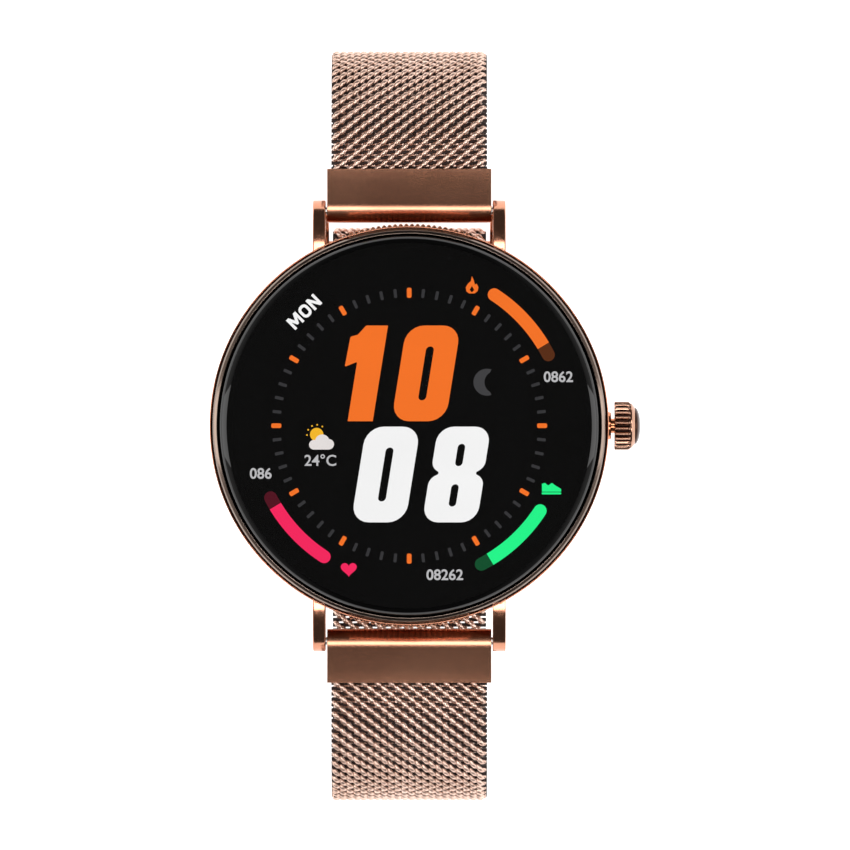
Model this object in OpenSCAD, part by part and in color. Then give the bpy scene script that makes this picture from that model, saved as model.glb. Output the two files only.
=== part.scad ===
// Round smartwatch on a closed magnetic mesh strap.
// +Z points out of the display, +Y points to 12 o'clock, +X points to the crown.
// The origin is the centre of the case back's flat outer face. All sizes are in millimetres.

/* [Case] */
// Outer diameter of the case band
case_d = 43; // [42:0.5:44]
// Height of the case band's top edge above the case back
band_top = 7.6; // [7.4:0.1:7.8]
// Wall thickness of the case band
case_wall = 1.9; // [1.6:0.1:2.2]
// Outer diameter of the bezel ring
bezel_d = 42.5; // [42.4:0.1:42.6]
// Top of the bezel ring above the case back
bezel_top = 9.3; // [9.1:0.1:9.5]
// Diameter of the cover glass
glass_d = 41; // [40.8:0.1:41]
// Top of the cover glass above the case back
glass_top = 10.25; // [10.1:0.05:10.4]

/* [Lugs] */
// Gap between a pair of lugs, which is the strap's fitting width
lug_gap = 18; // [17.8:0.1:18.2]
// Width of one lug
lug_w = 1.4; // [1.2:0.1:1.6]
// Distance of a spring bar's axis from the middle of the watch
bar_y = 23.2; // [23.1:0.05:23.4]
// Height of the spring bars' axis above the case back
bar_z = 3.2; // [3.1:0.1:3.4]

/* [Crown] */
// Diameter of the crown knob
crown_d = 5.2; // [4.8:0.1:5.4]
// Height of the crown's axis above the case back
crown_z = 4.8; // [4.7:0.1:4.9]
// Number of flutes round the crown
crown_flutes = 26; // [20:1:30]
// How far the crown can be pressed in
crown_travel = 0.25; // [0.15:0.05:0.25]

/* [Strap] */
// Width of the mesh
mesh_w = 17; // [16.6:0.1:17]
// Thickness of the mesh
mesh_t = 1.3; // [1.2:0.05:1.35]
// Outer radius of the strap's bend beside the case
shoulder_r = 11.2; // [11:0.1:11.4]
// Reach of the closed strap from the middle of the watch
reach = 40.6; // [40.4:0.1:40.8]
// Depth of the buckle ring's bar below the case back
ring_depth = 40; // [39:0.5:42]
// Distance of the ring's bar from the middle of the watch
ring_y = 19.6; // [19.4:0.1:20]
// Neutral radius of the bend from the long strap to the run under the wrist
heel_r = 12.6; // [12.2:0.1:12.6]
// Neutral radius of the short strap's lower bend
toe_r = 13; // [12.5:0.1:13.5]
// Tilt of the buckle ring and of the short strap's end
toe_tilt = 25; // [22:1:28]

/* [Buckle] */
// Radius of the buckle ring's bar
ring_bar_r = 0.8; // [0.7:0.05:0.8]
// Gap between the ring's bar and the mesh folded round it
fold_gap = 0.15; // [0.15:0.01:0.2]
// Length of the magnetic tab
tab_l = 16; // [14:0.5:18]
// Width of the magnetic tab
tab_w = 17.8; // [17.4:0.1:18]

/* [Hidden] */
$fn = 96;
case_r = case_d / 2;
case_in_r = case_r - case_wall;
band_foot = 1.0;
cover_in = 1.8;
bezel_r = bezel_d / 2;
bezel_in_r = glass_d / 2 + 0.1;
glass_r = glass_d / 2;
glass_seat = 8.3;
panel_r = 19.7;
panel_z = 7.65;
lug_x = lug_gap / 2 + lug_w / 2;
knurl_teeth = 22;
knurl_pitch = 1.6;
knurl_r = case_r + 0.14;
window_r = 9.2;
screw_r = 17.4;
boss_r = 2.0;
boss_z = cover_in + 0.2;
boss_h = 5.2;
pad_y = -12.8;
rim_r = 15.7;
tube_r = 0.75;
tube_bore_r = 0.5;
pin_r = 0.45;
tip_r = 0.42;
lug_hole_r = 0.48;
tube_half = 8.6;
tip_end = 9.75;
knob_x = 6;
release = 1.0;
clamp_r = 1.3;
clamp_half = 8.85;
clamp_end = 27.7;
grip = 2.4;
slot_t = mesh_t + 0.04;
slot_w = mesh_w + 0.1;
shoulder_y = reach - shoulder_r;
shoulder_n = shoulder_r - mesh_t / 2;
shoulder_z = bar_z - shoulder_n;
ring_z = -ring_depth;
fold_n = ring_bar_r + fold_gap + mesh_t / 2;
under_z = ring_z + fold_n;
tail_z = ring_z - fold_n;
heel_z = under_z + heel_r;
toe_y = reach - mesh_t / 2 - toe_r;
heel_y = 2 * bar_y - ring_y;
toe_end = (toe_y + toe_r * cos(90 - toe_tilt) - ring_y) / cos(toe_tilt);
toe_z = ring_z + toe_end * sin(toe_tilt) + toe_r * sin(90 - toe_tilt);
flex_gap = 0.8;
lap = 0.3;
hair = 0.01;
peel_gap = 0.3;
ring_in = mesh_w / 2 + 0.35;
ring_arm = 1.4;
ring_slot = 3.4;
ring_len = 5.0;
toe_clamp_end = 9.0;
toe_clamp_half = 9.0;
toe_clamp_t = 2.6;
tab_top = ring_z + 0.65;
tab_bottom = ring_z - 2.55;
tab_seam = tab_top - 0.5;
tab_y = tab_l / 2;

// Shared shapes

// Turns a side view drawn as (y, z) into a solid of the given width, centred on the middle of the watch.
module across(width) {
    rotate([90, 0, 90]) linear_extrude(height = width, center = true) children();
}

// A round bar along X from x0 to x1, at the given height and place.
module bar_x(x0, x1, r, y = 0, z = 0, fn = 48) {
    translate([x0, y, z]) rotate([0, 90, 0]) cylinder(h = x1 - x0, r = r, $fn = fn);
}

// A block from its low corner to its high corner.
module block(low, high) {
    translate(low) cube(high - low);
}

// The part of a circular band of mesh between two angles, as a side view about (cy, cz).
module bend(cy, cz, r, from, to) {
    far = 2 * r;
    translate([cy, cz]) intersection() {
        difference() {
            circle(r = r + mesh_t / 2, $fn = 128);
            circle(r = r - mesh_t / 2, $fn = 128);
        }
        polygon([[0, 0], for (i = [0:4]) far * [cos(from + (to - from) * i / 4),
                                                sin(from + (to - from) * i / 4)]]);
    }
}

// A rectangle in the side view, from low corner to high corner.
module run(low, high) {
    translate(low) square(high - low);
}

// A straight stretch of mesh along +Y at height z, a hair thinner than the bends that it laps into.
module flat_run(y0, y1, z) {
    run([y0, z - mesh_t / 2 + hair], [y1, z + mesh_t / 2 - hair]);
}

// Places a part that is drawn with the ring's bar on its X axis and the short strap's end along +Y.
module at_ring() {
    translate([0, ring_y, ring_z]) rotate([toe_tilt, 0, 0]) children();
}

// Places a strap fitting: side 1 is the upper lugs and side -1 the lower ones.
module at_side(side) {
    if (side > 0) children();
    else mirror([0, 1, 0]) children();
}

// Case

module lug_outline() {
    top = [for (a = [0:7.5:90]) [17.5 + 6.85 * sin(a), 3.0 + 4.2 * cos(a)]];
    tip = [for (a = [15:15:90]) [23.15 + 1.2 * cos(a), 3.0 - 1.2 * sin(a)]];
    polygon(concat(top, tip, [[17.5, 1.8]]));
}

module knurl_band() {
    half = knurl_teeth * knurl_pitch / 2;
    teeth = [for (i = [0:2 * knurl_teeth])
        let (a = 90 - half + i * knurl_pitch / 2, r = (i % 2 == 1) ? knurl_r : case_r - 0.1)
        r * [cos(a), sin(a)]];
    root = [for (a = [90 + half:-5:90 - half]) (case_r - 0.8) * [cos(a), sin(a)]];
    translate([0, 0, 2.9]) linear_extrude(height = 4.2) polygon(concat(teeth, root));
}

module case_middle() {
    color([0.72, 0.48, 0.38]) difference() {
        union() {
            rotate_extrude() polygon([
                [case_r - 1.4, band_foot], [case_r - 0.7, band_foot], [case_r, band_foot + 0.7],
                [case_r, band_top - 0.5], [case_r - 0.15, band_top - 0.15],
                [case_r - 0.5, band_top], [case_in_r - 1, band_top],
                [case_in_r - 1, band_top - 0.7], [case_in_r, band_top - 0.7],
                [case_in_r, cover_in + 0.1], [case_r - 1.4, cover_in + 0.1]]);
            difference() {
                for (side = [1, -1], x = [lug_x, -lug_x])
                    at_side(side) translate([x, 0, 0]) across(lug_w) lug_outline();
                translate([0, 0, -1]) cylinder(h = 12, r = case_r - 0.7);
            }
            for (side = [1, -1]) at_side(side) knurl_band();
            for (a = [45:90:315]) rotate(a) {
                translate([screw_r, 0, boss_z]) cylinder(h = boss_h, r = boss_r);
                block([screw_r, -1.6, boss_z], [case_in_r + 0.5, 1.6, boss_z + boss_h]);
            }
            bar_x(case_in_r - 0.6, case_r - 0.4, 1.95, 0, crown_z);
        }
        for (side = [1, -1]) at_side(side)
            bar_x(-lug_gap / 2 - 0.9, lug_gap / 2 + 0.9, lug_hole_r, bar_y, bar_z);
        for (a = [45:90:315]) rotate(a) translate([screw_r, 0, 0])
            cylinder(h = 5, r = 0.6, $fn = 32);
        bar_x(case_in_r - 2, case_r + 1, 1.52, 0, crown_z);
        for (y = [-14.4, -13.1]) bar_x(-case_r, -case_in_r + 5, 0.4, y, 3.9, 24);
    }
}

module bezel_ring() {
    color([0.78, 0.60, 0.54]) rotate_extrude() polygon([
        [20, band_top], [bezel_r - 0.4, band_top], [bezel_r - 0.4, band_top + 0.3],
        [bezel_r, band_top + 0.35], [bezel_r, bezel_top - 0.35], [bezel_r - 0.1, bezel_top - 0.1],
        [bezel_r - 0.35, bezel_top], [bezel_in_r + 0.08, bezel_top], [bezel_in_r, bezel_top - 0.1],
        [bezel_in_r, glass_seat - 0.1], [20, glass_seat - 0.1]]);
}

module cover_glass() {
    drop = glass_top - glass_seat - 0.7;
    edge = [for (a = [90:-10:0]) [glass_r - 1.8 + 1.8 * cos(a), glass_seat + 0.7 + drop * sin(a)]];
    color([0.04, 0.04, 0.05]) rotate_extrude()
        polygon(concat([[0, glass_seat], [0, glass_top]], edge,
                       [[glass_r, glass_seat + 0.2], [glass_r - 0.2, glass_seat]]));
}

module glass_gasket() {
    color([0.1, 0.1, 0.1]) translate([0, 0, glass_seat - 0.1]) difference() {
        cylinder(h = 0.1, r = glass_r - 0.1);
        translate([0, 0, -1]) cylinder(h = 3, r = 20.02);
    }
}

module display_panel() {
    color([0.02, 0.02, 0.03]) translate([0, 0, panel_z])
        cylinder(h = glass_seat - panel_z, r = panel_r);
}

module display_flex() {
    color([0.75, 0.5, 0.15]) block([-4, -14.4, 6.2], [4, -14.25, panel_z]);
}

module inner_frame() {
    color([0.12, 0.12, 0.13]) translate([0, 0, 5.05]) linear_extrude(height = 0.5) difference() {
        circle(r = case_in_r - 0.1);
        for (a = [45:90:315]) rotate(a) translate([screw_r, 0]) {
            circle(r = boss_r + 0.15, $fn = 48);
            translate([0, -1.75]) square([4, 3.5]);
        }
        translate([13.5, -3.4]) square([8, 6.8]);
        for (x = [-9, 3]) translate([x, -6]) square([6, 12]);
    }
}

module main_board() {
    color([0.05, 0.25, 0.15]) translate([0, 0, 5.55]) linear_extrude(height = 0.65) difference() {
        circle(r = 14.95);
        for (x = [-1, 1]) translate([9.5 * x, 10.8]) circle(r = 0.8, $fn = 32);
    }
}

module board_chips() {
    chips = [[-6, 2, 7, 7, 1.0], [4, 3.5, 5, 5, 0.8], [2.5, -4.5, 4, 5, 0.7], [-6.5, -6.5, 5, 4, 0.7],
             [9.5, -5, 3, 3, 0.6], [-11, 3, 2.4, 5, 0.6]];
    color([0.08, 0.08, 0.09]) for (c = chips)
        block([c[0] - c[2] / 2, c[1] - c[3] / 2, 6.2], [c[0] + c[2] / 2, c[1] + c[3] / 2, 6.2 + c[4]]);
}

module battery() {
    color([0.55, 0.57, 0.6]) translate([-1, 0, 2.5]) linear_extrude(height = 2.5)
        offset(r = 1.5, $fn = 32) square([21, 14], center = true);
}

module vibration_motor() {
    color([0.7, 0.7, 0.72]) translate([0, 13.6, 2.3]) {
        cylinder(h = 2.1, r = 4);
        translate([0, 0, 2.1]) cylinder(h = 0.3, r = 2.2);
    }
}

module speaker() {
    color([0.15, 0.15, 0.16]) union() {
        block([-9.5, -15.5, 2.9], [-1.5, -10, 4.9]);
        block([-10, -15, 3.4], [-9.5, -12.9, 4.4]);
    }
}

module microphone() {
    color([0.7, 0.65, 0.45]) block([5, -15, 4], [8, -13, 5]);
}

// Case back

module back_cover() {
    color([0.45, 0.33, 0.29]) difference() {
        rotate_extrude() polygon([
            [window_r + 0.05, 0], [14, 0], [case_r - 1.55, band_foot], [case_r - 1.5, band_foot + 0.1],
            [case_r - 1.5, cover_in], [rim_r, cover_in], [rim_r, 1.2], [window_r + 0.05, 1.2]]);
        for (a = [45:90:315]) rotate(a) translate([screw_r, 0, -1]) {
            cylinder(h = 2.1, r = 1.05, $fn = 48);
            cylinder(h = 4, r = 0.65, $fn = 32);
        }
        for (x = [-1.6, 1.6]) translate([x, pad_y, -1]) cylinder(h = 4, r = 0.85, $fn = 48);
    }
}

module back_gasket() {
    color([0.1, 0.1, 0.1]) translate([0, 0, cover_in]) difference() {
        cylinder(h = 0.1, r = case_r - 1.5);
        translate([0, 0, -1]) cylinder(h = 3, r = case_in_r + 0.05);
    }
}

module sensor_window() {
    color([0.06, 0.05, 0.06]) cylinder(h = 1.2, r = window_r);
}

module sensor_board() {
    color([0.05, 0.25, 0.15]) translate([0, 0, 1.9]) cylinder(h = 0.5, r = 8.6);
}

module sensor_leds() {
    color([0.3, 0.75, 0.4]) {
        for (x = [-1, 1]) block([x * 1.1 - 0.8, -0.8, 1.25], [x * 1.1 + 0.8, 0.8, 1.9]);
        for (x = [-1, 1]) block([x * 5 - 1.2, -1.6, 1.25], [x * 5 + 1.2, 1.6, 1.9]);
    }
}

module charging_pads() {
    color([0.85, 0.68, 0.35]) for (x = [-1.6, 1.6]) translate([x, pad_y, 0])
        cylinder(h = 1.7, r = 0.8, $fn = 48);
}

module charge_magnets() {
    color([0.6, 0.6, 0.62]) for (x = [-5.2, 5.2]) translate([x, pad_y, 1.25])
        cylinder(h = 1.5, r = 1.5, $fn = 48);
}

module back_screws() {
    color([0.5, 0.42, 0.4]) for (a = [45:90:315]) rotate(a) translate([screw_r, 0, 0]) difference() {
        union() {
            translate([0, 0, 0.65]) cylinder(h = 0.45, r = 0.98, $fn = 48);
            translate([0, 0, 1.1]) cylinder(h = 3.2, r = 0.55, $fn = 32);
        }
        for (t = [0, 90]) rotate(t) block([-0.7, -0.12, 0.6], [0.7, 0.12, 0.9]);
    }
}

// Crown

module crown_tube() {
    color([0.83, 0.62, 0.5]) difference() {
        union() {
            bar_x(case_in_r - 0.4, case_r - 0.1, 1.5, 0, crown_z);
            bar_x(case_r - 0.1, case_r + 0.25, 1.47, 0, crown_z);
        }
        bar_x(case_in_r - 1, case_r + 1, 0.85, 0, crown_z);
    }
}

module crown_switch() {
    color([0.7, 0.7, 0.7]) union() {
        block([15.3, -2, 3.6], [16.5, 2, 6]);
        bar_x(16.5, 16.7, 0.7, 0, crown_z);
    }
}

module crown_flex() {
    color([0.75, 0.5, 0.15]) union() {
        block([15.1, -1.6, 3.8], [15.3, 1.6, 6.35]);
        block([12.5, -1.6, 6.2], [15.3, 1.6, 6.35]);
    }
}

module crown_yoke() {
    color([0.6, 0.6, 0.62]) difference() {
        block([17.5, -1.9, crown_z - 1.6], [18, 1.9, crown_z + 1.6]);
        bar_x(17, 18.4, 0.55, 0, crown_z);
    }
}

module crown_stem() {
    color([0.7, 0.68, 0.66]) union() {
        bar_x(17, 17.45, 0.8, 0, crown_z);
        bar_x(17.45, 18.05, 0.5, 0, crown_z);
        bar_x(18.05, 20.2, 0.8, 0, crown_z);
        bar_x(20.2, 20.7, 0.6, 0, crown_z);
        bar_x(20.7, 22.2, 0.8, 0, crown_z);
    }
}

module crown_seal() {
    color([0.1, 0.1, 0.1]) difference() {
        bar_x(20.22, 20.68, 0.83, 0, crown_z);
        bar_x(20, 21, 0.6, 0, crown_z);
    }
}

module crown_knob() {
    r = crown_d / 2;
    color([0.74, 0.5, 0.4]) translate([0, 0, crown_z]) rotate([0, 90, 0]) difference() {
        translate([0, 0, case_r + 0.6]) linear_extrude(height = 1.8) difference() {
            circle(r = r);
            for (i = [0:crown_flutes - 1]) rotate(i * 360 / crown_flutes)
                translate([r + 0.06, 0]) circle(r = 0.22, $fn = 16);
        }
        translate([0, 0, case_r - 1]) cylinder(h = 1.7, r = 0.82);
    }
}

module crown_cap() {
    r = crown_d / 2 - 0.2;
    color([0.3, 0.17, 0.13]) translate([0, 0, crown_z]) rotate([0, 90, 0])
        translate([0, 0, case_r + 2.4]) rotate_extrude()
        polygon(concat([[0, 0], [r, 0]], [for (a = [0:10:90]) [r * cos(a), 0.2 + 0.84 * sin(a)]]));
}

// Spring bars and end clamps, drawn for the upper side

module bar_tube() {
    difference() {
        union() {
            bar_x(-tube_half, tube_half, tube_r, bar_y, bar_z);
            bar_x(-tip_end, -tube_half, tip_r, bar_y, bar_z);
        }
        bar_x(-tube_half + 1.2, tube_half + 1, tube_bore_r, bar_y, bar_z);
        block([knob_x - release - 0.6, bar_y - 0.45, bar_z - 2], [knob_x + 0.45, bar_y + 0.45, bar_z]);
    }
}

module bar_pin() {
    union() {
        bar_x(4.2, tube_half, pin_r, bar_y, bar_z);
        bar_x(tube_half, tip_end, tip_r, bar_y, bar_z);
        translate([knob_x, bar_y, bar_z - 1.75]) cylinder(h = 1.75, r = 0.35, $fn = 32);
    }
}

// A coil spring along X: rings of points swept along a helix and closed at both ends.
module coil(x0, x1, r, wire, turns) {
    steps = 8 * turns;
    sides = 6;
    points = [for (i = [0:steps], k = [0:sides - 1])
        let (a = 45 * i, b = 360 * k / sides, d = r + wire * cos(b))
        [x0 + (x1 - x0) * i / steps + wire * sin(b), d * cos(a), d * sin(a)]];
    walls = [for (i = [0:steps - 1], k = [0:sides - 1])
        let (n = (k + 1) % sides) each [[i * sides + k, (i + 1) * sides + k, (i + 1) * sides + n],
                                        [i * sides + k, (i + 1) * sides + n, i * sides + n]]];
    ends = [[for (k = [0:sides - 1]) k], [for (k = [sides - 1:-1:0]) steps * sides + k]];
    translate([0, bar_y, bar_z]) polyhedron(points, concat(walls, ends));
}

module bar_spring() {
    coil(-tube_half + 1.3, 4.1, 0.36, 0.07, 12);
}

module end_clamp() {
    difference() {
        across(2 * clamp_half) union() {
            translate([bar_y, bar_z]) circle(r = clamp_r);
            run([bar_y, bar_z - clamp_r], [clamp_end, bar_z + clamp_r]);
        }
        bar_x(-clamp_half - 1, clamp_half + 1, tube_r + 0.02, bar_y, bar_z);
        across(slot_w) run([clamp_end - grip, bar_z - slot_t / 2], [clamp_end + 1, bar_z + slot_t / 2]);
        block([knob_x - release - 0.6, bar_y - 0.6, bar_z - 2], [knob_x + 0.6, bar_y + 0.6, bar_z]);
    }
}

module upper_clamp() { color([0.5, 0.34, 0.28]) end_clamp(); }
module upper_bar_tube() { color([0.7, 0.7, 0.72]) bar_tube(); }
module upper_bar_pin() { color([0.75, 0.75, 0.77]) bar_pin(); }
module upper_bar_spring() { color([0.6, 0.6, 0.62]) bar_spring(); }
module lower_clamp() { color([0.5, 0.34, 0.28]) at_side(-1) end_clamp(); }
module lower_bar_tube() { color([0.7, 0.7, 0.72]) at_side(-1) bar_tube(); }
module lower_bar_pin() { color([0.75, 0.75, 0.77]) at_side(-1) bar_pin(); }
module lower_bar_spring() { color([0.6, 0.6, 0.62]) at_side(-1) bar_spring(); }

// Mesh

// The stretch that both straps share: out of the clamp, over the shoulder and down to a height.
module shoulder(bottom) {
    flat_run(clamp_end - grip + 0.1, shoulder_y + lap, bar_z);
    bend(shoulder_y, shoulder_z, shoulder_n, 0, 90);
    run([reach - mesh_t + hair, bottom - lap], [reach - hair, shoulder_z + lap]);
}

module upper_mesh() {
    color([0.6, 0.45, 0.38]) across(mesh_w) {
        shoulder(toe_z);
        bend(toe_y, toe_z, toe_r, -90 + toe_tilt, 0);
        translate([ring_y, ring_z]) rotate(toe_tilt)
            flat_run(toe_clamp_end - grip + 0.1, toe_end + lap, 0);
    }
}

module lower_mesh() {
    color([0.6, 0.45, 0.38]) at_side(-1) across(mesh_w) {
        shoulder(heel_z);
        bend(reach - mesh_t / 2 - heel_r, heel_z, heel_r, -90, 0);
        flat_run(heel_y + flex_gap / 2, reach - mesh_t / 2 - heel_r + lap, under_z);
    }
}

module under_mesh() {
    color([0.6, 0.45, 0.38]) across(mesh_w) {
        flat_run(-heel_y + flex_gap / 2, ring_y + lap, under_z);
        translate([ring_y, ring_z]) intersection() {
            difference() {
                circle(r = fold_n + mesh_t / 2);
                circle(r = fold_n - mesh_t / 2);
            }
            translate([0, -4]) square([4, 8]);
        }
    }
}

module tail_mesh() {
    color([0.6, 0.45, 0.38]) across(mesh_w)
        flat_run(tab_y - grip + 0.1, ring_y - peel_gap, tail_z);
}

// Buckle

module ring_clamp() {
    color([0.5, 0.34, 0.28]) at_ring() difference() {
        block([-toe_clamp_half, ring_len, -toe_clamp_t / 2], [toe_clamp_half, toe_clamp_end, toe_clamp_t / 2]);
        across(slot_w) run([toe_clamp_end - grip, -slot_t / 2], [toe_clamp_end + 1, slot_t / 2]);
    }
}

module buckle_ring() {
    color([0.78, 0.56, 0.45]) at_ring() union() {
        bar_x(-ring_in - ring_arm, ring_in + ring_arm, ring_bar_r);
        for (side = [-1, 1]) translate([side * (ring_in + ring_arm / 2), 0, 0])
            across(ring_arm) run([0, -ring_bar_r], [ring_len, ring_bar_r]);
        across(2 * ring_in) run([ring_slot, -ring_bar_r], [ring_len, ring_bar_r]);
    }
}

module tab_shell() {
    color([0.5, 0.34, 0.28]) difference() {
        block([-tab_w / 2, -tab_y, tab_bottom], [tab_w / 2, tab_y, tab_seam]);
        block([-8, -tab_y + 0.8, ring_z - 1.75], [8, tab_y - grip - 0.8, tab_seam + 1]);
        across(slot_w) run([tab_y - grip, tail_z - slot_t / 2], [tab_y + 1, tail_z + slot_t / 2]);
    }
}

module tab_lid() {
    color([0.62, 0.44, 0.36]) block([-tab_w / 2, -tab_y, tab_seam], [tab_w / 2, tab_y, tab_top]);
}

module tab_magnets() {
    color([0.6, 0.6, 0.62]) for (x = [-5.9:3.93:5.9])
        block([x - 1.85, -tab_y + 1, ring_z - 1.7], [x + 1.85, tab_y - grip - 1, tab_seam - 0.05]);
}

case_middle();
bezel_ring();
cover_glass();
glass_gasket();
display_panel();
display_flex();
inner_frame();
main_board();
board_chips();
battery();
vibration_motor();
speaker();
microphone();
back_cover();
back_gasket();
sensor_window();
sensor_board();
sensor_leds();
charging_pads();
charge_magnets();
back_screws();
crown_tube();
crown_switch();
crown_flex();
crown_yoke();
crown_stem();
crown_seal();
crown_knob();
crown_cap();
upper_clamp();
upper_bar_tube();
upper_bar_pin();
upper_bar_spring();
upper_mesh();
ring_clamp();
buckle_ring();
lower_clamp();
lower_bar_tube();
lower_bar_pin();
lower_bar_spring();
lower_mesh();
under_mesh();
tail_mesh();
tab_shell();
tab_lid();
tab_magnets();
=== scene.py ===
"""Looks of a round smartwatch on a closed mesh strap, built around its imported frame.

Sizes are in millimetres in the frame's own axes: +Z out of the display, +Y to 12 o'clock and
+X to the crown. They are turned into metres where a mesh is made.
"""

import logging
import math
from dataclasses import dataclass, field
from enum import Enum

import bmesh
import bpy
import numpy as np
from mathutils import Matrix, Vector


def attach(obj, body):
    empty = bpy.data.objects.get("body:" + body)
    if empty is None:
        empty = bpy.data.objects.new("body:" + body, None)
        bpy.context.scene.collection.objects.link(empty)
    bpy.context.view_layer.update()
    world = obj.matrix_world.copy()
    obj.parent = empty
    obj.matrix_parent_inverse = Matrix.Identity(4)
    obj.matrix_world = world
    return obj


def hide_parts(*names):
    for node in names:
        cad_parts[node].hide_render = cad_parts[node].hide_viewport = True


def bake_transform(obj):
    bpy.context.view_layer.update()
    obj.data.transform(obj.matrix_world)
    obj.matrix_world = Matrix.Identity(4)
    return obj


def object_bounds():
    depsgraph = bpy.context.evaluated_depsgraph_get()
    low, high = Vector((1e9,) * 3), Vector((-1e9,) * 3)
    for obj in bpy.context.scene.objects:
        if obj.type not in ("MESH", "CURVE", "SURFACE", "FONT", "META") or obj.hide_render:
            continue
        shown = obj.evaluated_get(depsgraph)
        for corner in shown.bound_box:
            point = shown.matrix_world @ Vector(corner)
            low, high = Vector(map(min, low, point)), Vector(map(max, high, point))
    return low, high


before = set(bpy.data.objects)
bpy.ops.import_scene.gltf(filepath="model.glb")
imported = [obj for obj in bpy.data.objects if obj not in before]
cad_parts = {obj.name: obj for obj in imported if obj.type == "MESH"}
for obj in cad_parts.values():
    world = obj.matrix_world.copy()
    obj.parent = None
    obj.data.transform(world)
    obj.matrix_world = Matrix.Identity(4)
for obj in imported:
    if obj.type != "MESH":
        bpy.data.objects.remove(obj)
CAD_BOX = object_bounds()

LOG = logging.getLogger("smartwatch")
MM = 0.001
Point2 = tuple[float, float]
Point3 = tuple[float, float, float]


class Side(Enum):
    """The two strap sides: UPPER is at 12 o'clock, LOWER at 6 o'clock."""

    UPPER = 1
    LOWER = -1


class Turn(Enum):
    """Which way the outer face of a strap lies from its direction of travel."""

    LEFT = 1
    RIGHT = -1


# ---------------------------------------------------------------------------
# Finishes
# ---------------------------------------------------------------------------


def srgb(red: int, green: int, blue: int) -> tuple[float, float, float, float]:
    """Turns a display colour into the linear colour that a socket takes.

    Args:
        red: the red part, from 0 to 255.
        green: the green part, from 0 to 255.
        blue: the blue part, from 0 to 255.

    Returns:
        Linear red, green and blue, and an alpha of 1.
    """

    def channel(value: int) -> float:
        """One linear channel."""
        v = value / 255
        return v / 12.92 if v <= 0.04045 else ((v + 0.055) / 1.055) ** 2.4

    return (channel(red), channel(green), channel(blue), 1.0)


class Nodes:
    """A small helper that lays out one node material in millimetre coordinates."""

    def __init__(self, name: str) -> None:
        """Starts an empty material with a Principled shader.

        Args:
            name: the material's name.
        """
        self.material = bpy.data.materials.new(name)
        self.material.use_nodes = True
        self.tree = self.material.node_tree
        self.shader = self.tree.nodes["Principled BSDF"]
        self._coordinates = self.tree.nodes.new("ShaderNodeTexCoord")

    def new(self, kind: str) -> bpy.types.Node:
        """Adds one node."""
        return self.tree.nodes.new(kind)

    def link(self, out: bpy.types.NodeSocket, into: bpy.types.NodeSocket) -> None:
        """Joins two sockets."""
        self.tree.links.new(out, into)

    def space(self, scale: Point3 = (1.0, 1.0, 1.0)) -> bpy.types.NodeSocket:
        """Object coordinates in millimetres.

        Args:
            scale: how many pattern units one millimetre holds along X, Y and Z.

        Returns:
            The socket that carries the coordinates.
        """
        mapping = self.new("ShaderNodeMapping")
        mapping.inputs["Scale"].default_value = [s / MM for s in scale]
        self.link(self._coordinates.outputs["Object"], mapping.inputs["Vector"])
        return mapping.outputs["Vector"]

    def noise(self, scale: Point3, detail: float = 3.0) -> bpy.types.NodeSocket:
        """Noise in millimetre space.

        Args:
            scale: pattern units per millimetre on each axis.
            detail: how many finer octaves are added.

        Returns:
            The noise value's socket.
        """
        noise = self.new("ShaderNodeTexNoise")
        noise.inputs["Scale"].default_value = 1.0
        noise.inputs["Detail"].default_value = detail
        self.link(self.space(scale), noise.inputs["Vector"])
        return noise.outputs["Fac"]

    def ramp(self, factor: bpy.types.NodeSocket, stops: list[tuple[float, tuple]]) -> bpy.types.NodeSocket:
        """Colours a value.

        Args:
            factor: the value's socket.
            stops: place and colour pairs from low to high.

        Returns:
            The colour's socket.
        """
        ramp = self.new("ShaderNodeValToRGB")
        elements = ramp.color_ramp.elements
        while len(elements) < len(stops):
            elements.new(0.5)
        for element, (place, colour) in zip(elements, stops):
            element.position = place
            element.color = colour
        self.link(factor, ramp.inputs["Fac"])
        return ramp.outputs["Color"]

    def spread(self, factor: bpy.types.NodeSocket, low: float, high: float) -> bpy.types.NodeSocket:
        """Maps noise, which mostly lies between 0.3 and 0.7, onto a range.

        Args:
            factor: the noise socket.
            low: the value at the low end.
            high: the value at the high end.

        Returns:
            The mapped value's socket.
        """
        span = self.new("ShaderNodeMapRange")
        span.inputs["From Min"].default_value = 0.3
        span.inputs["From Max"].default_value = 0.7
        span.inputs["To Min"].default_value = low
        span.inputs["To Max"].default_value = high
        self.link(factor, span.inputs["Value"])
        return span.outputs["Result"]

    def bump(self, height: bpy.types.NodeSocket, depth_mm: float, strength: float) -> None:
        """Adds relief to the shader.

        Args:
            height: the height value's socket, from 0 to 1.
            depth_mm: the depth between 0 and 1.
            strength: from 0 to 1.
        """
        bump = self.new("ShaderNodeBump")
        bump.inputs["Distance"].default_value = depth_mm * MM
        bump.inputs["Strength"].default_value = strength
        self.link(height, bump.inputs["Height"])
        self.link(bump.outputs["Normal"], self.shader.inputs["Normal"])

    def set(self, **values: float | tuple) -> None:
        """Sets sockets of the shader by their names, with _ for a space."""
        for name, value in values.items():
            self.shader.inputs[name.replace("_", " ")].default_value = value


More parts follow.
